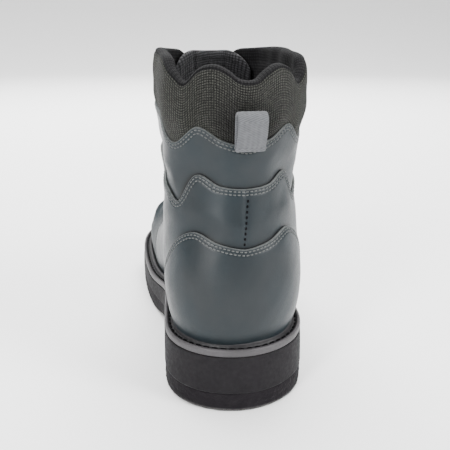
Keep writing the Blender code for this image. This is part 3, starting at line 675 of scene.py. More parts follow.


# leather: the edge tone is the pale cut edge, partly its own tone and partly a painted highlight; deep is the
# colour of the painted shade where pieces meet
leatherLook = {
    "cool": (0.0088, 0.0142, 0.0175, 1), "warm": (0.0130, 0.0162, 0.0182, 1),
    "pale": (0.021, 0.025, 0.027, 1), "edgeTone": (0.125, 0.132, 0.128, 1), "deep": (0.002, 0.0025, 0.0028, 1),
    "rough": 0.40, "shine": 0.20, "poreRough": 0.12, "rubbedRough": 0.25, "cells": 1700.0, "patches": 30.0,
    "edge": 0.9, "dust": 0.25, "waves": 0.10, "waveScale": 70.0, "waveDepth": 0.0012,
    "bump": 0.35, "depth": 0.00012,
}
vampLook = dict(leatherLook, edge=0.0, patches=22.0, shine=0.08, rough=0.5)
panelLeather = leatherMaterial("slateLeather", leatherLook)
shellLeather = leatherMaterial("vampLeather", vampLook)

# cloths: threads per metre across and up, dots the part of the thread's swell that goes from gap to thread,
# deep the colour of the painted shade where pieces meet
clothLook = {"shine": 0.10, "deep": (0.0022, 0.0021, 0.0024, 1)}
collarCloth = wovenMaterial("ballisticCloth", {
    "gap": (0.0060, 0.0063, 0.0057, 1), "thread": (0.050, 0.051, 0.044, 1), "dull": (0.014, 0.014, 0.012, 1),
    "across": 690.0, "up": 690.0, "uneven": 0.5, "dots": (0.30, 1.0), "rough": 0.85, "sheen": 0.04,
    "dust": 0.30, "bump": 1.0, "depth": 0.0006})
liningCloth = wovenMaterial("liningKnit", {
    "gap": (0.0030, 0.0030, 0.0033, 1), "thread": (0.0098, 0.0096, 0.0104, 1),
    "dull": (0.0062, 0.0056, 0.0060, 1), "across": 520.0, "up": 800.0, "uneven": 0.4, "dots": (0.1, 0.9),
    "rough": 0.95, "sheen": 0.03, "dust": 0.4, "bump": 0.7, "depth": 0.0004})
tongueCloth = wovenMaterial("tongueKnit", {
    "gap": (0.0038, 0.0038, 0.0042, 1), "thread": (0.0300, 0.0300, 0.0322, 1),
    "dull": (0.0140, 0.0140, 0.0150, 1), "across": 620.0, "up": 620.0, "uneven": 0.5, "dots": (0.1, 0.9),
    "rough": 0.9, "sheen": 0.10, "dust": 0.3, "bump": 0.9, "depth": 0.0005})
loopWebbing = wovenMaterial("greyWebbing", {
    "gap": (0.046, 0.048, 0.051, 1), "thread": (0.105, 0.108, 0.115, 1), "dull": (0.072, 0.074, 0.079, 1),
    "across": 320.0, "up": 820.0, "slant": 3.0, "plain": 1.0, "uneven": 0.4, "dots": (0.0, 1.0), "rough": 0.8,
    "sheen": 0.10, "dust": 0.2, "bump": 0.6, "depth": 0.0003})
footCloth = wovenMaterial("footbedCloth", {
    "gap": (0.008, 0.008, 0.0085, 1), "thread": (0.035, 0.036, 0.038, 1), "dull": (0.020, 0.020, 0.021, 1),
    "across": 600.0, "up": 600.0, "uneven": 0.4, "dots": (0.0, 1.0), "rough": 0.92, "sheen": 0.1, "dust": 0.3,
    "bump": 0.5, "depth": 0.0003})

# sole: the edge tone is the tone along a rim, on the welt painted shade in its channel and beside the upper
rubberBlack = mouldedMaterial("soleRubber", {
    "cool": (0.0046, 0.0039, 0.0050, 1), "warm": (0.0062, 0.0053, 0.0065, 1),
    "pale": (0.0100, 0.0092, 0.0103, 1), "edgeTone": (0.013, 0.012, 0.013, 1), "rough": 0.74, "shine": 0.16,
    "sheen": 0.0, "cells": 900.0, "patches": 60.0, "edge": 0.4, "dust": 0.30, "bump": 0.5, "depth": 0.0003})
feltGrey = mouldedMaterial("pressedFelt", {
    "cool": (0.0068, 0.0058, 0.0072, 1), "warm": (0.0092, 0.0080, 0.0094, 1),
    "pale": (0.017, 0.016, 0.0168, 1), "edgeTone": (0.085, 0.085, 0.083, 1), "rough": 0.95, "shine": 0.08,
    "sheen": 0.03, "cells": 650.0, "patches": 90.0, "edge": 0.9, "dust": 0.30, "bump": 1.0, "depth": 0.0006})
weltGrey = mouldedMaterial("weltStrip", {
    "cool": (0.036, 0.034, 0.036, 1), "warm": (0.045, 0.042, 0.045, 1), "pale": (0.056, 0.054, 0.056, 1),
    "edgeTone": (0.007, 0.007, 0.008, 1), "rough": 0.55, "shine": 0.35, "sheen": 0.0, "cells": 1300.0,
    "patches": 60.0, "edge": 0.95, "dust": 0.25, "bump": 0.3, "depth": 0.0002})

# threads, lace and eyelets
paleThread = cordMaterial("paleThread", {
    "color": (0.100, 0.105, 0.102, 1), "rough": 0.7, "fibre": 2500.0, "sheen": 0.1, "shine": 0.2})
blackThreadAndHoleShade = cordMaterial("blackThreadAndHoleShade", {
    "color": (0.004, 0.004, 0.0045, 1), "rough": 0.9, "fibre": 2500.0, "sheen": 0.0, "shine": 0.05})
laceCord = cordMaterial("laceCord", {
    "color": (0.022, 0.022, 0.023, 1), "rough": 0.75, "fibre": 1500.0, "sheen": 0.1, "shine": 0.2})
eyeletLook = {"dark": (0.05, 0.05, 0.055, 1), "light": (0.12, 0.12, 0.13, 1), "rough": 0.35, "scuffs": 800.0}
eyeletMetal, eyeletTree, eyeletShader = startMaterial("darkEyelet", eyeletLook["rough"])
eyeletShader["Metallic"].default_value = 1.0
eyeletScuff = noiseNode(eyeletTree, objectPlace(eyeletTree), eyeletLook["scuffs"], 4.0)
eyeletTree.links.new(blendColor(eyeletTree, eyeletScuff, eyeletLook["dark"], eyeletLook["light"]),
                     eyeletShader["Base Color"])
print("materials ready")

# sole: rings offset from the upper's foot line, a profile of outsets and heights carried round
roundCount = 360
footPlan, footOut = footRing(roundCount)


def soleRing(outset, height):
    # points round the sole, outset metres outside the foot line, height worked out from the run
    place = footPlan + footOut * np.asarray(outset)[..., None]
    run = last["soleLength"] / 2 - place[:, 1]
    return np.column_stack([place, height(run)]) + toMiddle


def footRipple(height, size, seed):
    # the wandering value at the points of the foot line, at a height
    return ripple(np.column_stack([footPlan, np.full(roundCount, height)]), size, seed)


def crossCaps(start, count):
    # strips across a ring between points that mirror each other
    half = count // 2
    step = np.arange(1, half - 1)
    quads = np.stack([start + step, start + step + 1, start + count - step - 1, start + count - step], -1)
    ends = [(start, start + 1, start + count - 1), (start + half - 1, start + half, start + half + 1)]
    return quads, ends


def slabMesh(name, rings):
    # closed block through rings from the bottom up
    count = len(rings[0])
    below, belowEnds = crossCaps(0, count)
    above, aboveEnds = crossCaps((len(rings) - 1) * count, count)
    quads = np.concatenate([gridQuads(len(rings), count, True), below[:, ::-1], above])
    return makeMesh(name, np.concatenate(rings), quads, [face[::-1] for face in belowEnds] + aboveEnds)


def hoopMesh(name, rings):
    # closed strip whose section runs through the rings and back to the first
    count = len(rings[0])
    quads = gridQuads(len(rings) + 1, count, True) % (len(rings) * count)
    return makeMesh(name, np.concatenate(rings), quads)


feltLayer = {"corner": 0.0016, "rows": 12, "inset": -0.0004, "rim": 0.0012,
             "uneven": 0.00018, "unevenSize": 0.006, "wave": 0.00022, "waveSize": 0.005}


def makeFelt():
    # felt layer: a quarter circle at the lower rim, then straight up to the joint, sides a little uneven, the
    # edge value falling off above the rim
    look = feltLayer
    rings, rim = [], []
    side = last["reveal"] - look["inset"]
    corner = look["corner"]
    uneven = footRipple(0.0, look["unevenSize"], 5) * look["uneven"]
    for part in np.linspace(0.0, 1.0, 4)[:-1]:
        turn = part * math.pi / 2
        rings.append(soleRing(side - corner * (1 - math.sin(turn)) + uneven,
                              lambda run: soleBottom(run) + corner * (1 - math.cos(turn))))
        rim.append(1.0 - 0.2 * part)
    for part in np.linspace(0.0, 1.0, look["rows"]):
        wave = footRipple(part * last["felt"], look["waveSize"], 6) * look["wave"]
        rings.append(soleRing(side + wave,
                              lambda run: (soleBottom(run) + corner) * (1 - part) + feltTop(run) * part))
        rim.append(float(np.clip(0.75 - part * last["felt"] / look["rim"], 0.0, 1.0)))
    felt = slabMesh("feltSole", rings)
    setValue(felt, "edge", np.repeat(rim, roundCount))
    return dress(felt, [feltGrey], ["outsole"])


# corner is the radius at the felt and upper how many times wider it is at the welt
rubberBlock = {"bulge": 0.0008, "corner": 0.0002, "upper": 3.5, "rows": 24, "platform": 0.0063,
               "joint": 0.0001, "tall": 0.028, "wave": 0.00010, "waveSize": 0.018}


def makeRubber():
    # rubber block: straight lines from the felt to the welt, swollen low down by a sine, quarter circles at
    # both joints, a platform under the insole
    look = rubberBlock
    rings, edge = [], []

    def low(run):
        return feltTop(run) + look["joint"]

    def high(run):
        return soleTop(run) - weltBand["thickness"] - last["seat"]

    for part in np.linspace(0.0, 1.0, look["rows"]):
        near = part if part < 0.5 else (1 - part) / look["upper"]
        near = min(near * look["tall"] / look["corner"], 1.0)
        corner = look["corner"] * (1 - math.sqrt(1 - (1 - near) ** 2))
        swell = look["bulge"] * math.sin(math.pi * min(part * 0.5 + 0.5, 1.0)) ** 0.8
        wave = footRipple(part * 0.02, look["waveSize"], 8) * look["wave"]
        rings.append(soleRing(last["reveal"] + swell - corner + wave,
                              lambda run: low(run) * (1 - part) + high(run) * part))
        edge.append(1.0 if part == 1.0 else 0.0)
    rings += [soleRing(-look["platform"], high), soleRing(-look["platform"], soleTop)]
    rubber = slabMesh("rubberSole", rings)
    setValue(rubber, "edge", np.repeat(edge + [0.0, 0.0], roundCount))
    return dress(rubber, [rubberBlack], ["midsole"])


weltBand = {"thickness": 0.005, "inside": 0.006, "channel": 0.0010, "row": 0.0055}
weltThread = {"length": 0.0042, "wide": 0.0012, "high": 0.0011, "pitch": 0.0055}


def makeWelt():
    # welt: a section carried round, of points (outset, height over the sole's top, dark of the edge value):
    # flat strip with rounded outer edge, stitch channel, and the bead at the foot of the leather, an ellipse.
    # The dark is painted shade in the channel, in the gap at the leather's foot and faintly under the strip's
    # outer corner; the bead is half dark for its own tone
    look = weltBand
    reveal, thick, inside, channel = last["reveal"], look["thickness"], look["inside"], look["channel"]
    section = [(-inside, -thick, 0), (reveal - 0.0009, -thick, 0), (reveal - 0.0003, -thick + 0.0003, 0.1),
               (reveal, -thick + 0.0010, 0), (reveal + 0.0001, -thick / 2, 0), (reveal, -0.0010, 0),
               (reveal - 0.0003, -0.0003, 0), (reveal - 0.0009, 0.0, 0), (0.0072, 0.0, 0),
               (0.0069, -0.0002, 0.4), (0.0067, -channel, 1), (0.0043, -channel - 0.0001, 1),
               (0.0038, -0.0008, 1), (0.0036, 0.0, 0.9), (0.00335, 0.0010, 0.55)]
    section += [(0.0022 + 0.0013 * math.cos(turn), 0.0008 + 0.0011 * math.sin(turn), 0.5)
                for turn in np.linspace(0.15, 0.95, 8) * math.pi]
    section += [(0.0008, 0.0004, 1), (0.0004, 0.0, 1), (-inside, 0.0, 0)]
    welt = hoopMesh("weltStrip", [soleRing(out, lambda run: soleTop(run) + up) for out, up, _ in section])
    setValue(welt, "edge", np.repeat([dark for _, _, dark in section], roundCount))
    dress(welt, [weltGrey], ["welt"])
    path = soleRing(look["row"], lambda run: soleTop(run) - channel + 0.0001)
    path = np.vstack([path, path[:1]])
    upwards = np.tile([0.0, 0.0, 1.0], (len(path), 1))
    dress(stitchMesh("weltStitches", [(path, upwards)], weltThread), [blackThreadAndHoleShade])


# outset from the foot line's inside and height over the sole's top
insoleSlab = ((0.0, last["seat"]), (0.0, 0.0030), (-0.0006, 0.0038), (-0.0016, 0.0040))


def makeInsole():
    # insole: cloth slab with a rounded rim, seen through the collar
    inside = -(last["wall"] + 2 * last["seat"])
    rings = [soleRing(inside + out, lambda run: soleTop(run) + up) for out, up in insoleSlab]
    insole = slabMesh("footbed", rings)
    setUv(insole, np.concatenate(rings)[:, :2])
    return dress(insole, [footCloth], ["insole"])


makeFelt()
makeRubber()
makeWelt()
makeInsole()
print("sole built")

# upper: the leather shell, and the padded collar that stands in its top
shell = {"columns": 320, "rows": 150, "tuck": 0.004, "highest": 0.985, "wave": 0.00025, "waveSize": 0.045,
         "follow": 0.6, "around": 0.045, "upward": 0.19}


def makeShell():
    # leather shell up to just under the ankle band's top edge, its inside the lining, lifted by waves and
    # creases that fade out at the welt; the front closes below the throat
    look = shell
    levels = np.linspace(0.0, 1.0, look["rows"])[:, None]
    spread = np.linspace(-1.0, 1.0, look["columns"] + 1)[None, :]
    grid = levels * np.minimum(edgeLevel(spread * math.pi, "band", -look["tuck"]), look["highest"])
    front = np.where(grid <= throat["level"], math.pi, sideAngle(throatHalf(grid), grid))
    angles = spread * front
    wave = ripple(skin(angles, grid), look["waveSize"], 3) * look["wave"] * ease(0.0, 0.1, grid)
    fold = creaseLift(angles, grid)
    outer, inner = skin(angles, grid, wave + fold), skin(angles, grid, look["follow"] * fold - last["wall"])
    for sheet in (outer, inner):
        sheet[..., 2] += last["seat"]
    points, quads = closedSheet(outer, inner, int(np.argmax(grid[:, 0] > throat["level"])))
    upper = makeMesh("leatherShell", points, quads)
    flat = np.stack([angles * look["around"], grid * look["upward"]], -1).reshape(-1, 2)
    setUv(upper, np.tile(flat, (2, 1)))
    setValue(upper, "edge", np.zeros(len(points)))
    faces = (grid.shape[0] - 1) * (grid.shape[1] - 1)
    slots = np.zeros(len(quads), int)
    slots[faces:2 * faces] = 1
    dress(upper, [shellLeather, liningCloth], ["upper"], slots)
    weld(upper)


# crest is the rows of each quarter of the rolled top, reach the length round from the back to the throat,
# thin the pad's thickness in the wings, end the share of it left at the throat, flatBack where the swell
# starts beside the loop, seam the turn at which the cloth ends on the crest's outer side, footReach and
# loopReach how far the painted shade goes, footShade and loopShade how dark it is
collarPad = {
    "columns": 420, "rows": 46, "crest": 15, "reach": 0.14, "tuck": 0.0052, "clear": 0.0006,
    "thin": 0.0040, "thinning": (0.55, 0.74), "corner": 0.045, "cornerWide": 0.011, "end": 0.3,
    "endRound": 0.006, "swell": 0.0017, "swellHeight": 0.030, "flatBack": (0.010, 0.024), "pinch": 0.0004,
    "soft": 0.00045, "softSize": 0.022, "folds": 0.0006, "foldSize": 0.020,
    "seam": math.radians(36), "groove": 0.0006, "grooveWide": 0.10, "roll": 0.12,
    "lowest": 0.60, "inside": 0.06, "footShade": 0.7, "footReach": 0.004,
    "loopShade": 0.75, "loopReach": (0.021, 0.016),
}


def makeCollar():
    # padded collar in sections, one for each angle: up the outside in a swelling line, over a half circle
    # that ends at the collar's edge, down the inside. The half circle is lower at the throat's corners, and
    # the cloth ends in a groove on its outer side
    look = collarPad
    spread = np.linspace(-1.0, 1.0, look["columns"] + 1)[None, :]
    climb = np.linspace(0.0, 1.0, look["rows"])[:, None]
    top = np.array([0.98])
    around = spread * sideAngle(throatHalf(top) + look["clear"], top)
    fromEnd = (1 - np.abs(spread)) * look["reach"]
    thinner = (look["thin"] - last["pad"]) * ease(*look["thinning"], np.abs(around) / math.pi)
    ending = look["end"] + (1 - look["end"]) * roundEdge(fromEnd, look["endRound"])
    half = (last["pad"] + thinner) / 2 * ending
    length = np.linalg.norm(lastPoint(around, 1.0) - lastPoint(around, 0.96), axis=-1) / 0.04
    crest = 1.0 - half / length - look["corner"] * (1 - roundEdge(fromEnd, look["cornerWide"]))
    start = np.minimum(edgeLevel(around, "band", -look["tuck"]), crest - 0.02)
    levels = start + (crest - start) * climb
    angles = spread * sideAngle(throatHalf(levels) + look["clear"], levels)
    wide = np.clip((crest - start) * length / look["swellHeight"], 0.0, 1.0)
    soft = ripple(skin(angles, levels), look["softSize"], 11) * look["soft"] * ease(0.1, 0.35, climb)
    # the swell leaves the middle of the back flat, where the loop lies
    beside = ease(*look["flatBack"], np.abs(around) * shell["around"])
    swell = look["swell"] * np.sin(math.pi * climb ** 0.8) * wide * beside
    swell = swell - look["pinch"] * (1 - ease(0.05, 0.25, climb))
    outer = skin(angles, levels, swell + soft)
    normal = lastNormal(angles[-1], levels[-1])[None]
    up = unit(lastPoint(angles[-1], 1.0) - lastPoint(angles[-1], levels[-1] - 0.02))[None]
    centre = skin(angles[-1:], levels[-1:], soft[-1:] - half)

    def crestRing(turn):
        # points of the half circle at a turn from the outside, wider past the seam, pressed in at it
        roll = 1 + look["roll"] * ease(look["seam"], look["seam"] + 0.35, turn) * ease(math.pi, 2.2, turn)
        radius = half * roll - look["groove"] * np.exp(-((turn - look["seam"]) / look["grooveWide"]) ** 2)
        return centre + (normal * np.cos(turn)[..., None] + up * np.sin(turn)[..., None]) * radius[..., None]

    outer = np.concatenate([outer, crestRing(np.linspace(0.0, math.pi / 2, look["crest"])[1:, None])])
    low = np.maximum(start - look["inside"], look["lowest"])
    levelsIn = low + (crest - low) * climb
    anglesIn = spread * sideAngle(throatHalf(levelsIn) + look["clear"], levelsIn)
    squeezed = skin(anglesIn, levelsIn) * np.array([1.0, 1.0, 2.0])
    folds = ripple(squeezed, look["foldSize"], 12) * look["folds"]
    deep = last["wall"] + 0.0004 + (2 * half - last["wall"] - 0.0004) * ease(0.0, 0.55, climb)
    lift = soft[-1:] * climb - deep + folds * ease(0.05, 0.3, climb) * ease(1.0, 0.8, climb)
    inner = np.concatenate([skin(anglesIn, levelsIn, lift),
                            crestRing(np.linspace(math.pi, math.pi / 2, look["crest"])[1:, None])])
    for sheet in (outer, inner):
        sheet[..., 2] += last["seat"]
    points, quads = closedSheet(outer, inner)
    collar = makeMesh("paddedCollar", points, quads)
    # cloth coordinates: distance round from the back, and up from the crest's foot
    rise = climbOf(outer)
    run = np.interp(np.abs(around[0]), fineAngles, fineRound[:, 360]) * np.sign(around[0])
    run = np.broadcast_to(run, rise.shape)
    flat = np.stack([run, rise - rise[look["rows"] - 1]], -1).reshape(-1, 2)
    setUv(collar, np.concatenate([flat, flat]))
    setValue(collar, "edge", np.zeros(len(points)))
    # painted shade: darker just above the ankle band and round the loop, by bells
    low = np.exp(-(rise / look["footReach"]) ** 2) * look["footShade"]
    aside, above = look["loopReach"]
    near = np.exp(-((run / aside) ** 2 + ((rise - above) / above) ** 2)) * look["loopShade"]
    paintedShade = np.maximum(low, near)
    setValue(collar, "paintedShade", np.concatenate([paintedShade.ravel(), np.zeros(paintedShade.size)]))
    seamRow = look["rows"] - 1 + int(round(look["seam"] / (math.pi / 2) * (look["crest"] - 1)))
    slots = np.ones(len(quads), int)
    slots[:seamRow * (outer.shape[1] - 1)] = 0
    dress(collar, [collarCloth, liningCloth], (), slots)
    weld(collar)


makeShell()
makeCollar()
print("upper and collar built")


# panels that overlap upwards: each lies over the foot of the one above. gather and pull bring rows and
# columns closer together at the edges, trim is the columns without stitches at the ends of a row
# shaded is how strongly the painted shade darkens a panel just above the piece below
panelLook = {
    "counter": {"thickness": 0.0020, "columns": 260, "rows": 90, "gather": 1.5, "pull": 0.35, "trim": (4, 4)},
    "quarter": {"thickness": 0.0017, "columns": 400, "rows": 90, "gather": 1.4, "pull": 0.12, "trim": (3, 3),
                "sideTrim": (6, 8), "tuckFoot": True, "shaded": 1.0, "seam": 0.0005},
    "band": {"thickness": 0.0014, "columns": 300, "rows": 64, "gather": 1.5, "pull": 0.35, "trim": (3, 3),
             "tuckFoot": True, "shaded": 1.0},
    "facing": {"thickness": 0.0014, "columns": 44, "rows": 120, "pull": 0.35, "trim": (3, 3)},
}
overlap = 0.0030
seamLook = {"rows": (0.0016, 0.0036), "groove": 0.00030, "wide": 0.00055, "round": 0.0010, "pale": 0.0008}
threadLook = {"length": 0.0019, "wide": 0.00078, "high": 0.00062, "pitch": 0.0026}
backSeam = {"length": 0.0019, "wide": 0.0012, "high": 0.0008, "pitch": 0.0033, "slant": 0.0008,
            "below": 0.0052, "above": 0.0042}
stitchRows = []


def closeSpread(count, pull):
    # -1..1 with the columns closer together at both ends, by a cubic
    even = np.linspace(-1.0, 1.0, count)
    return (even * (1 + pull - pull * even ** 2))[None, :]


def closeClimb(look):
    # 0..1 in a column, the rows closer together towards the top by a power
    return 1 - (1 - np.linspace(0.0, 1.0, look["rows"])[:, None]) ** look["gather"]


def edgeDistance(points, axis, atEnd):
    # straight distance of each point from one edge of the grid: the least distance from the edge's segments
    # within a few columns to either side
    lines = np.moveaxis(points, axis, 0)
    if atEnd:
        lines = lines[::-1]
    edge = lines[0]
    column = np.arange(len(edge))
    nearest = np.full(lines.shape[:2], 1.0)
    for step in range(-18, 18):
        start = np.clip(column + step, 0, len(edge) - 2)
        piece = edge[start + 1] - edge[start]
        away = lines - edge[start]
        part = np.clip((away * piece).sum(-1) / np.maximum((piece * piece).sum(-1), 1e-14), 0.0, 1.0)
        nearest = np.minimum(nearest, np.linalg.norm(away - part[..., None] * piece, axis=-1))
    return np.moveaxis(nearest[::-1] if atEnd else nearest, 0, axis)


def rowAt(points, normals, distance, wanted):
    # the line on a sheet where its distance from the top edge is as wanted, one point for each column
    row = np.clip((distance > wanted).sum(axis=0) - 1, 0, len(distance) - 2)
    column = np.arange(distance.shape[1])
    high, low = distance[row, column], distance[row + 1, column]
    part = np.clip((high - wanted) / np.where(high - low == 0, 1.0, high - low), 0.0, 1.0)[:, None]
    place = points[row, column] * (1 - part) + points[row + 1, column] * part
    return place, unit(normals[row, column] * (1 - part) + normals[row + 1, column] * part)


def addStitches(piece, side, wanted, trim):
    # one row of stitches at a distance from a cut edge, for the left and right sides along the grid's columns
    sheet, normals, distance = piece["sheet"], piece["normals"], piece["distance"][side]
    if side != "top":
        turned = slice(None, None, 1 if side == "right" else -1)
        sheet, normals, distance = (np.swapaxes(part, 0, 1)[turned] for part in (sheet, normals, distance))
    stitchRows.append(tuple(part[trim[0]:-trim[1]] for part in rowAt(sheet, normals, distance, wanted)))


# leather sheets: waves as size, seed and height, rim the share of the thickness left at a cut edge, backing
# the lift of the inside, tucked the lift of a tucked foot, tuck and bare where lift and pale edge come back
# the shade entries: darkness and reach of the painted shade just above the piece below
sheetForm = {"waves": ((0.034, 21, 0.00022), (0.011, 22, 0.00005)), "rim": 0.35, "backing": 0.0003,
             "thinnest": 0.0002, "tucked": 0.0007, "tuck": (0.0020, 0.0180), "bare": (0.002, 0.006),
             "paintedShade": 0.9, "shadeReach": 0.0013, "seamWide": 0.03125}


def leatherPiece(name, angles, levels, look, edges, node, sewn=1.0):
    # leather sheet on the upper: its thickness less a bell for each row of stitches, edges rounded by a
    # quarter circle, soft waves and the shell's creases. A tucked foot dips to the shell, under the piece
    # below it. edges names the grid's sides that are cut edges, pale there, partly their own tone and partly
    # a painted highlight; painted shade darkens the leather at its foot, just above the piece below, and all
    # of its underside
    form = sheetForm
    flat = skin(angles, levels)
    normals = lastNormal(angles, levels)
    distance = {"top": edgeDistance(flat, 0, True), "foot": edgeDistance(flat, 0, False),
                "left": edgeDistance(flat, 1, False), "right": edgeDistance(flat, 1, True)}
    near = np.min([distance[side] for side in edges], axis=0)
    thick = look["thickness"] * (form["rim"] + (1 - form["rim"]) * roundEdge(near, seamLook["round"]))
    grooves = sum(np.exp(-((near - row) / seamLook["wide"]) ** 2) for row in seamLook["rows"])
    soft = sum(ripple(flat, size, seed) * height for size, seed, height in form["waves"])
    fold = creaseLift(angles, levels)
    lift = last["gap"] + thick - seamLook["groove"] * grooves * sewn + soft * ease(0.001, 0.006, near)
    lift = lift - look.get("seam", 0.0) * np.exp(-(angles / form["seamWide"]) ** 2)
    # the edge value: a pale cut edge, partly its own tone and partly a painted highlight
    edgeTone = np.clip(1 - near / seamLook["pale"], 0.0, 1.0)
    if look.get("tuckFoot"):
        lift = lift - (lift - form["tucked"]) * (1 - ease(*form["tuck"], distance["foot"]))
        edgeTone = edgeTone * ease(*form["bare"], distance["foot"])
    outer = flat + normals * (lift + fold)[..., None]
    under = np.minimum(form["backing"], lift - form["thinnest"])
    inner = flat + normals * (under + fold)[..., None]
    for sheet in (outer, inner):
        sheet[..., 2] += last["seat"]
    points, quads = closedSheet(outer, inner)
    thing = makeMesh(name, points, quads)
    setValue(thing, "edge", np.concatenate([edgeTone.ravel(), np.zeros(edgeTone.size)]))
    # painted shade: darkest at the foot, just above the piece below, fading over its reach; full on the
    # underside
    past = np.clip(distance["foot"] - overlap, 0.0, 1.0)
    paintedShade = form["paintedShade"] * np.exp(-(past / form["shadeReach"]) ** 1.5) * look.get("shaded", 0.0)
    setValue(thing, "paintedShade", np.concatenate([paintedShade.ravel(), np.ones(paintedShade.size)]))
    dress(thing, [panelLeather], [node])
    return {"sheet": outer, "normals": normals, "distance": distance}


def makePanels():
    # counter, quarter and band between two edge lines each, blended by the climb from foot to top; gives back
    # the line of the back seam
    step = quarterFront / 18
    foot = (last["bead"] + 5 * last["seat"]) / (ringRows[1, 1] * backRise) / (len(ringRows) - 1)
    counterEnd = int(fineAngles[edgeLevel(fineAngles, "counter") > 1.1 * foot].max() / step) * step
    facingEdge = facingBack - 4 * last["seat"] / lastBall
    sewnEdges = ("top", "left", "right")

    # heel counter
    look = panelLook["counter"]
    climb = closeClimb(look)
    angles = closeSpread(look["columns"], look["pull"]) * counterEnd * np.ones_like(climb)
    levels = foot * 0.35 * (1 - climb) + edgeLevel(angles, "counter") * climb
    piece = leatherPiece("heelCounter", angles, levels, look, sewnEdges, "heel_counter")
    for wanted in seamLook["rows"]:
        addStitches(piece, "top", wanted, look["trim"])

    # quarter: its top edge turns down along the facing, its front edge runs from there to the welt
    look = panelLook["quarter"]
    climb = closeClimb(look)
    across = closeSpread(look["columns"], look["pull"])
    corner = 14 / 18
    lowAngle = across * quarterFront
    lowLevel = np.where(np.abs(lowAngle) > counterEnd, foot * 0.35,
                        np.maximum(edgeLevel(lowAngle, "counter", -overlap), foot * 0.35))
    highAngle = np.clip(across / corner, -1.0, 1.0) * facingEdge
    down = np.clip((np.abs(across) - corner) / (1 - corner), 0.0, 1.0)
    highLevel = edgeLevel(highAngle, "quarter") * (1 - down) + (throat["level"] + throat["round"]) * down
    angles = lowAngle * (1 - climb) + highAngle * climb
    levels = lowLevel * (1 - climb) + highLevel * climb
    piece = leatherPiece("quarterPanel", angles, levels, look, sewnEdges, "quarter")
    for wanted in seamLook["rows"]:
        addStitches(piece, "top", wanted, look["trim"])
        for side in ("left", "right"):
            addStitches(piece, side, wanted, look["sideTrim"])

    # back seam: where the quarter's middle column shows between counter and band, a little slanted
    middle = angles.shape[1] // 2
    fromTop, fromFoot = (piece["distance"][side][:, middle] for side in ("top", "foot"))
    shown = (fromTop > backSeam["below"]) & (fromFoot > backSeam["above"])
    seam = piece["sheet"][shown, middle], piece["normals"][shown, middle]
    seam[0][:, 0] += np.linspace(backSeam["slant"], -backSeam["slant"], len(seam[0]))

    # ankle band
    look = panelLook["band"]
    climb = closeClimb(look)
    angles = closeSpread(look["columns"], look["pull"]) * facingEdge * np.ones_like(climb)
    levels = edgeLevel(angles, "quarter", -overlap) * (1 - climb) + edgeLevel(angles, "band") * climb
    piece = leatherPiece("ankleBand", angles, levels, look, ("top",), "ankle_band")
    for wanted in seamLook["rows"]:
        addStitches(piece, "top", wanted, look["trim"])
    return seam


def makeFacings():
    # facings beside the throat, blended from their back line to the throat's edge, stitched down both sides
    look = panelLook["facing"]
    levels = np.linspace(throat["level"] + throat["round"], throat["facingTop"], look["rows"])[:, None]
    inner = sideAngle(throatHalf(levels) + 2 * last["seat"], levels)
    angles = facingBack + (inner - facingBack) * (closeSpread(look["columns"], look["pull"]) + 1) / 2
    grid = levels * np.ones_like(angles)
    for letter, turned in (("lateral", angles), ("medial", -angles[:, ::-1])):
        piece = leatherPiece("facing" + letter.capitalize(), turned, grid, look,
                             ("top", "foot", "left", "right"), "eyestay_" + letter, 0.6)
        for side in ("left", "right"):
            addStitches(piece, side, seamLook["rows"][0], look["trim"])


# half and thick are the pad's half width and thickness, rise how far it stands over the collar's dip, ribs
# the distance between the presses across it, line the depth of the one down each side
tonguePad = {"rows": 190, "columns": 72, "half": 0.029, "narrow": 0.72, "thick": 0.0066, "foot": 0.03,
             "rise": 0.0165, "shoulder": 0.008, "corner": 0.007, "cornerWide": 0.009, "sideRound": 0.010,
             "topRound": 0.006, "clear": 0.0013, "ribs": 0.0062, "press": 0.0009, "line": 0.0012,
             "lineAt": 0.55, "lineWide": 0.05, "folds": 0.0004, "foldSize": 0.025}


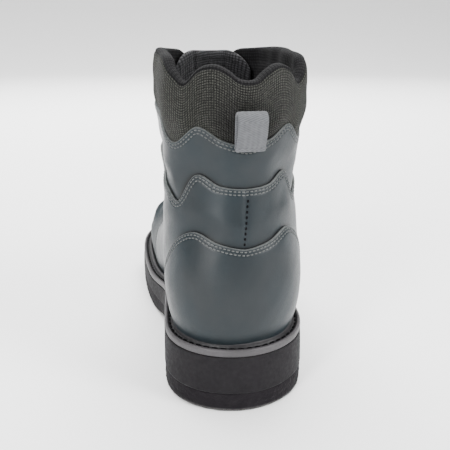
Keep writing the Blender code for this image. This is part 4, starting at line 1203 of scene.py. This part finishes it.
def makeTongue():
    # padded tongue: an even sheet behind the throat, its top raised to a line with rounded shoulders, its two
    # sides parted by quarter circles at the edges, ribs pressed by sines into the side towards the leg
    look = tonguePad
    climb = np.linspace(0.0, 1.0, look["rows"])[:, None]
    levels = throat["level"] - look["foot"] + (1.0 - throat["level"] + look["foot"]) * climb
    across = np.sin(np.linspace(-1.0, 1.0, look["columns"]) * math.pi / 2)[None, :]
    half = look["half"] * (look["narrow"] + (1 - look["narrow"]) * ease(throat["level"], 0.8, levels))
    reach = fullness(np.ones_like(levels), levels)
    angles = math.pi + np.arcsin(np.clip(across * half / reach, -0.95, 0.95))
    grid = levels * np.ones_like(angles)
    flat, normals = skin(angles, grid), lastNormal(angles, grid)
    fromSide = 1 - np.abs(across)
    outwards = np.clip(2 * np.abs(across) - 1, 0.0, 1.0)
    top = last["collarHeight"] + look["rise"] - look["shoulder"] * outwards ** 2
    top = top - look["corner"] * (1 - roundEdge(fromSide * look["half"], look["cornerWide"]))
    flat[..., 2] += (top - flat[-1:, :, 2]) * ease(0.75, 1.0, grid)
    rise = climbOf(flat)
    fromTop = rise[-1:] - rise
    shape = roundEdge(fromSide * half, look["sideRound"]) * roundEdge(fromTop, look["topRound"])
    rib = np.abs(np.sin(math.pi * fromTop / look["ribs"])) ** 0.6
    ribbed = look["press"] * (rib - 1) * ease(0.0, 0.25, fromSide) * ease(0.003, 0.006, fromTop)
    line = np.exp(-((np.abs(across) - look["lineAt"]) / look["lineWide"]) ** 2) * look["line"]
    folds = ripple(flat, look["foldSize"], 31) * look["folds"]
    depth = -(last["wall"] + look["clear"] * (1 + ease(0.6, 1.0, grid)))
    middle = depth - look["thick"] / 2
    outer = flat + normals * (middle + look["thick"] / 2 * shape)[..., None]
    inner = flat + normals * (middle - (look["thick"] / 2 + ribbed - line + folds) * shape)[..., None]
    points, quads = closedSheet(outer, inner)
    tongue = makeMesh("paddedTongue", points, quads)
    cloth = np.stack([np.broadcast_to(across * half, rise.shape), rise], -1).reshape(-1, 2)
    setUv(tongue, np.concatenate([cloth, cloth]))
    setValue(tongue, "edge", np.zeros(len(points)))
    dress(tongue, [tongueCloth], ["tongue"])
    weld(tongue)


# depth is the loop's size square to the boot, overlap how far its foot lies over the ankle band
loopTape = {"width": 0.0172, "height": 0.0235, "depth": 0.0104, "thick": 0.0017, "overlap": 0.0012,
            "bow": 0.0007, "foot": 0.5, "rib": 0.00010, "ribPitch": 0.00104, "ribSlant": 0.33,
            "rings": 420, "sides": 40}


def makeLoop():
    # webbing: a flat section, powers of cosine and sine, carried round a closed path of a half circle at the
    # top, a tighter one at the foot and two straight legs, with ribs by a cosine across its width
    look = loopTape
    foot = edgeRows["band"][0] * last["collarHeight"] - look["overlap"]

    def backAt(height, lift):
        return skin(0.0, np.interp(height, finePoints[0, :, 2], fineLevels), lift)

    low = backAt(foot, last["gap"] + panelLook["band"]["thickness"])
    high = backAt(foot + look["height"], last["gap"])
    lean = math.atan2(high[1] - low[1], high[2] - low[2])
    centre = look["depth"] / 2
    radius = (look["depth"] - look["thick"]) / 2
    footRadius = radius * look["foot"]
    turn = np.linspace(0.0, math.pi, 60)
    topAt = look["height"] - look["depth"] / 2
    top = np.stack([centre + radius * np.cos(turn), topAt + radius * np.sin(turn)], -1)
    bend = np.linspace(math.pi, 2 * math.pi, 40)
    bottom = np.stack([centre - radius + footRadius + footRadius * np.cos(bend),
                       look["thick"] / 2 + footRadius + footRadius * np.sin(bend)], -1)
    inside = top[-1] + (bottom[0] - top[-1]) * np.linspace(0, 1, 60)[1:-1, None]
    outside = bottom[-1] + (top[0] - bottom[-1]) * np.linspace(0, 1, 90)[1:-1, None]
    outside = outside + np.sin(np.linspace(0, math.pi, 90))[1:-1, None] * np.array([look["bow"], 0.0])
    ring = np.concatenate([top, inside, bottom, outside, top[:1]])
    run = runOf(ring)
    even = np.arange(look["rings"]) * run[-1] / look["rings"]
    path = np.stack([np.interp(even, run, ring[:, axis]) for axis in range(2)], -1)
    ahead = unit(np.roll(path, -1, 0) - np.roll(path, 1, 0))
    out = np.stack([ahead[:, 1], -ahead[:, 0]], -1)
    corner = np.linspace(0, 2 * math.pi, look["sides"], endpoint=False)
    wide = np.sign(np.cos(corner)) * np.abs(np.cos(corner)) ** 0.22 * look["width"] / 2
    deep = np.sign(np.sin(corner)) * np.abs(np.sin(corner)) ** 0.55 * look["thick"] / 2
    slanted = even[:, None] + wide[None] * look["ribSlant"]
    rib = look["rib"] * np.cos(2 * math.pi * slanted / look["ribPitch"])
    offset = deep[None] + rib * np.sign(deep)[None] * (np.abs(deep) > look["thick"] * 0.3)
    place = path[:, None] + out[:, None] * offset[..., None]
    wide = np.broadcast_to(wide[None], offset.shape)
    back = low[1] + last["seat"] + place[..., 0] * math.cos(lean) + place[..., 1] * math.sin(lean)
    height = low[2] - place[..., 0] * math.sin(lean) + place[..., 1] * math.cos(lean)
    points = np.stack([low[0] + wide, back, height], -1)
    quads = gridQuads(look["rings"] + 1, look["sides"], True) % (look["rings"] * look["sides"])
    loop = makeMesh("pullLoop", points, quads)
    setUv(loop, np.stack([wide, np.broadcast_to(even[:, None], offset.shape)], -1))
    setValue(loop, "edge", np.zeros(offset.size))
    turnOutwards(loop)
    return dress(loop, [loopWebbing], ["pull_loop"])


lacing = {"pairs": 6, "inset": 0.0095, "cord": 0.0015, "flat": 0.8, "sides": 12, "rows": 9, "cross": 0.0016}
# section of an eyelet's lip and cup: radius and height over the facing
eyeletSection = ((0.0050, -0.0002), (0.0050, 0.0003), (0.0046, 0.0008), (0.0039, 0.0011), (0.0031, 0.0009),
                 (0.0026, 0.0003), (0.0024, -0.0006), (0.0023, -0.0022))
facingTopLift = last["gap"] + panelLook["facing"]["thickness"]


def eyeletPlaces():
    # offset from the middle line and level of each eyelet of one side, evenly spaced from the toe end up
    levels = np.linspace(throat["level"] + 1.5 * throat["round"], throat["facingTop"] - throat["round"], 60)
    run = runOf(lastPoint(sideAngle(throatHalf(levels) + lacing["inset"], levels), levels))
    levels = np.interp(np.linspace(0.0, run[-1], lacing["pairs"]), run, levels)
    return throatHalf(levels) + lacing["inset"], levels


def frontPoint(offset, level, lift):
    # point near the throat, offset from the middle line, lateral side plus
    offset, level, lift = (np.atleast_1d(np.asarray(value, float)) for value in (offset, level, lift))
    return skin(sideAngle(np.abs(offset), level) * np.where(offset >= 0, 1.0, -1.0), level, lift)


def makeEyelets():
    # the section turned round by cosine and sine, one ring square to the surface at each eyelet's place, each
    # cup closed by a black floor, painted shade where the hole would show
    offsets, levels = eyeletPlaces()
    top = facingTopLift + last["seat"]
    around = np.linspace(0, 2 * math.pi, 28, endpoint=False)
    section = np.array(eyeletSection)
    flat = np.stack([np.cos(around), np.sin(around), np.zeros_like(around)], -1)
    rings = flat[None] * section[:, 0][:, None, None] + np.array([0, 0, 1.0]) * section[:, 1][:, None, None]
    points, quads, others, names = [], [], [], []
    for side, letter in ((1, "lateral"), (-1, "medial")):
        for number, (offset, level) in enumerate(zip(offsets, levels), 1):
            place = frontPoint(side * offset, level, top)[0]
            normal = unit(frontPoint(side * offset, level, top + 0.01)[0] - place)
            across = unit(np.cross(normal, [0.0, 0.0, 1.0]))
            start = len(points) * len(section) * len(around)
            points.append(place + rings @ np.stack([across, np.cross(normal, across), normal]))
            quads.append(gridQuads(len(section), len(around), True) + start)
            end = start + len(section) * len(around)
            others.append(tuple(range(end - len(around), end)))
            others.append(tuple(range(start + len(around) - 1, start - 1, -1)))
            names.append(f"eyelet_{letter}_{number}")
    thing = makeMesh("eyeletRings", np.concatenate(points), np.concatenate(quads), others)
    # black floors of the cups: painted shade in place of the holes
    slots = np.zeros(len(thing.data.polygons), int)
    slots[-len(others)::2] = 1
    return dress(thing, [eyeletMetal, blackThreadAndHoleShade], names, slots)


def laceRoute(first):
    # stations (offset, level, lift) of one run: it comes up through an eyelet, crosses to the other side,
    # goes under that facing's edge and up through the next eyelet, and ends inside the top one
    offsets, levels = eyeletPlaces()
    over = facingTopLift + 0.0012 + lacing["cord"]
    lean = lacing["cross"] * first
    side = first
    gap, offset, level = float(throatHalf(levels[0])), offsets[0], levels[0]
    route = [(0.0, level - 0.004, -0.0030), (side * gap * 0.9, level - 0.003, -0.0036),
             (side * offset * 0.9, level, -0.0022)]
    for number, (offset, level) in enumerate(zip(offsets, levels)):
        route += [(side * offset, level + 0.001, 0.0002),
                  (side * (offset - 0.0008), level + 0.004, over + 0.0004)]
        if number == lacing["pairs"] - 1:
            break
        gap = float(throatHalf(level))
        rise = levels[number + 1] - level
        route += [
            (side * gap, level + 0.16 * rise, over),
            (side * gap * 0.45, level + 0.36 * rise, over + 0.0002 + lean),
            (0.0, level + 0.5 * rise, over + lean),
            (-side * gap * 0.45, level + 0.62 * rise, over - 0.0008 + lean * 0.7),
            (-side * gap * 0.92, level + 0.80 * rise, 0.0),
            (-side * (gap + 0.004), level + 0.92 * rise, -0.0034),
            (-side * offset * 0.98, levels[number + 1] - 0.002, -0.0026),
        ]
        side = -side
    return np.array(route + [(side * (offset + 0.0004), level - 0.002, -0.0010)])


def makeLaces():
    # two runs that cross over the tongue: a flattened cord along a smooth curve through each route
    rings, quads, others, total = [], [], [], 0
    for first in (1, -1):
        table = laceRoute(first)
        share = np.linspace(0.0, 1.0, len(table) * lacing["rows"])
        path = frontPoint(*(along(table[:, axis], share) for axis in range(3)))
        tip = np.where(np.arange(len(path)) < len(path) - 2, 1.0, 0.7)
        points, faces, caps = tube(path, lacing["cord"] * tip, lacing["sides"], lacing["flat"])
        rings.append(points.reshape(-1, 3))
        quads.append(faces + total)
        others += [tuple(index + total for index in cap) for cap in caps]
        total += len(rings[-1])
    laces = makeMesh("bootLaces", np.concatenate(rings), np.concatenate(quads), others)
    turnOutwards(laces)
    return dress(laces, [laceCord], ["laces"])


backLine = makePanels()
makeFacings()
dress(stitchMesh("panelStitches", stitchRows, threadLook), [paleThread])
dress(stitchMesh("backSeamStitches", [backLine], backSeam), [blackThreadAndHoleShade])
makeTongue()
makeLoop()
makeEyelets()
makeLaces()
print("panels, tongue, loop and laces built")

# stage: a pale floor, a pale sky that is dimmer from the medial side, and four soft lights
floorSheet = {"reach": 7.0, "flat": 3.0, "rise": 0.20, "rows": 60, "around": 96,
              "color": (0.93, 0.93, 0.93, 1), "rough": 0.7}
skyLook = {"color": (1.0, 1.0, 1.0, 1), "from": -0.3, "to": 0.6, "lateral": 0.28, "medial": 0.03}
lights = {
    "boxLeft": {"place": (1.15, 1.25, 0.80), "aim": (0.0, 0.05, 0.10), "size": (0.4, 1.1), "power": 44.0},
    "boxRight": {"place": (-1.25, 1.10, 0.95), "aim": (0.0, 0.05, 0.10), "size": (0.6, 1.1), "power": 52.0},
    "boxTop": {"place": (0.0, -0.5, 1.90), "aim": (0.0, -0.3, 0.0), "size": (2.0, 2.0), "power": 105.0},
    "boxBack": {"place": (0.0, -1.3, 1.90), "aim": (0.0, -2.8, 0.0), "size": (3.0, 1.0), "power": 190.0},
}


def makeFloor():
    # floor that curves up far away on all sides: height grows with the square of the distance past the flat
    look = floorSheet
    away = np.linspace(0.0, 1.0, look["rows"])[1:, None] * look["reach"]
    turn = np.linspace(0, 2 * math.pi, look["around"], endpoint=False)[None, :]
    height = np.clip(away - look["flat"], 0.0, None) ** 2 * look["rise"]
    points = np.stack([away * np.cos(turn), away * np.sin(turn), height * np.ones_like(turn)], -1)
    quads = gridQuads(look["rows"] - 1, look["around"], True)[:, ::-1]
    return makeMesh("floor", points, quads, [tuple(range(look["around"]))])


def makeLight(name, look):
    # soft rectangle of light
    data = bpy.data.lights.new(name, "AREA")
    data.shape = "RECTANGLE"
    data.size, data.size_y = look["size"]
    data.energy = look["power"]
    standAt(bpy.data.objects.new(name, data), look["place"], look["aim"])


floorMaterial, floorTree, floorShader = startMaterial("paleFloor", floorSheet["rough"])
floorShader["Base Color"].default_value = floorSheet["color"]
floor = makeFloor()
floor.data.materials.append(floorMaterial)

world = bpy.data.worlds.new("paleWorld")
world.use_nodes = True
sky = world.node_tree.nodes["Background"].inputs
sky[0].default_value = skyLook["color"]
skyWay = addNode(world.node_tree, "ShaderNodeTexCoord").outputs["Generated"]
skyX = addNode(world.node_tree, "ShaderNodeSeparateXYZ", {0: skyWay}).outputs[0]
skyPower = rampValue(world.node_tree, skyX, skyLook["from"], skyLook["to"], skyLook["lateral"],
                     skyLook["medial"])
world.node_tree.links.new(skyPower, sky[1])
bpy.context.scene.world = world

for name, look in lights.items():
    makeLight(name, look)
print("stage and light set")
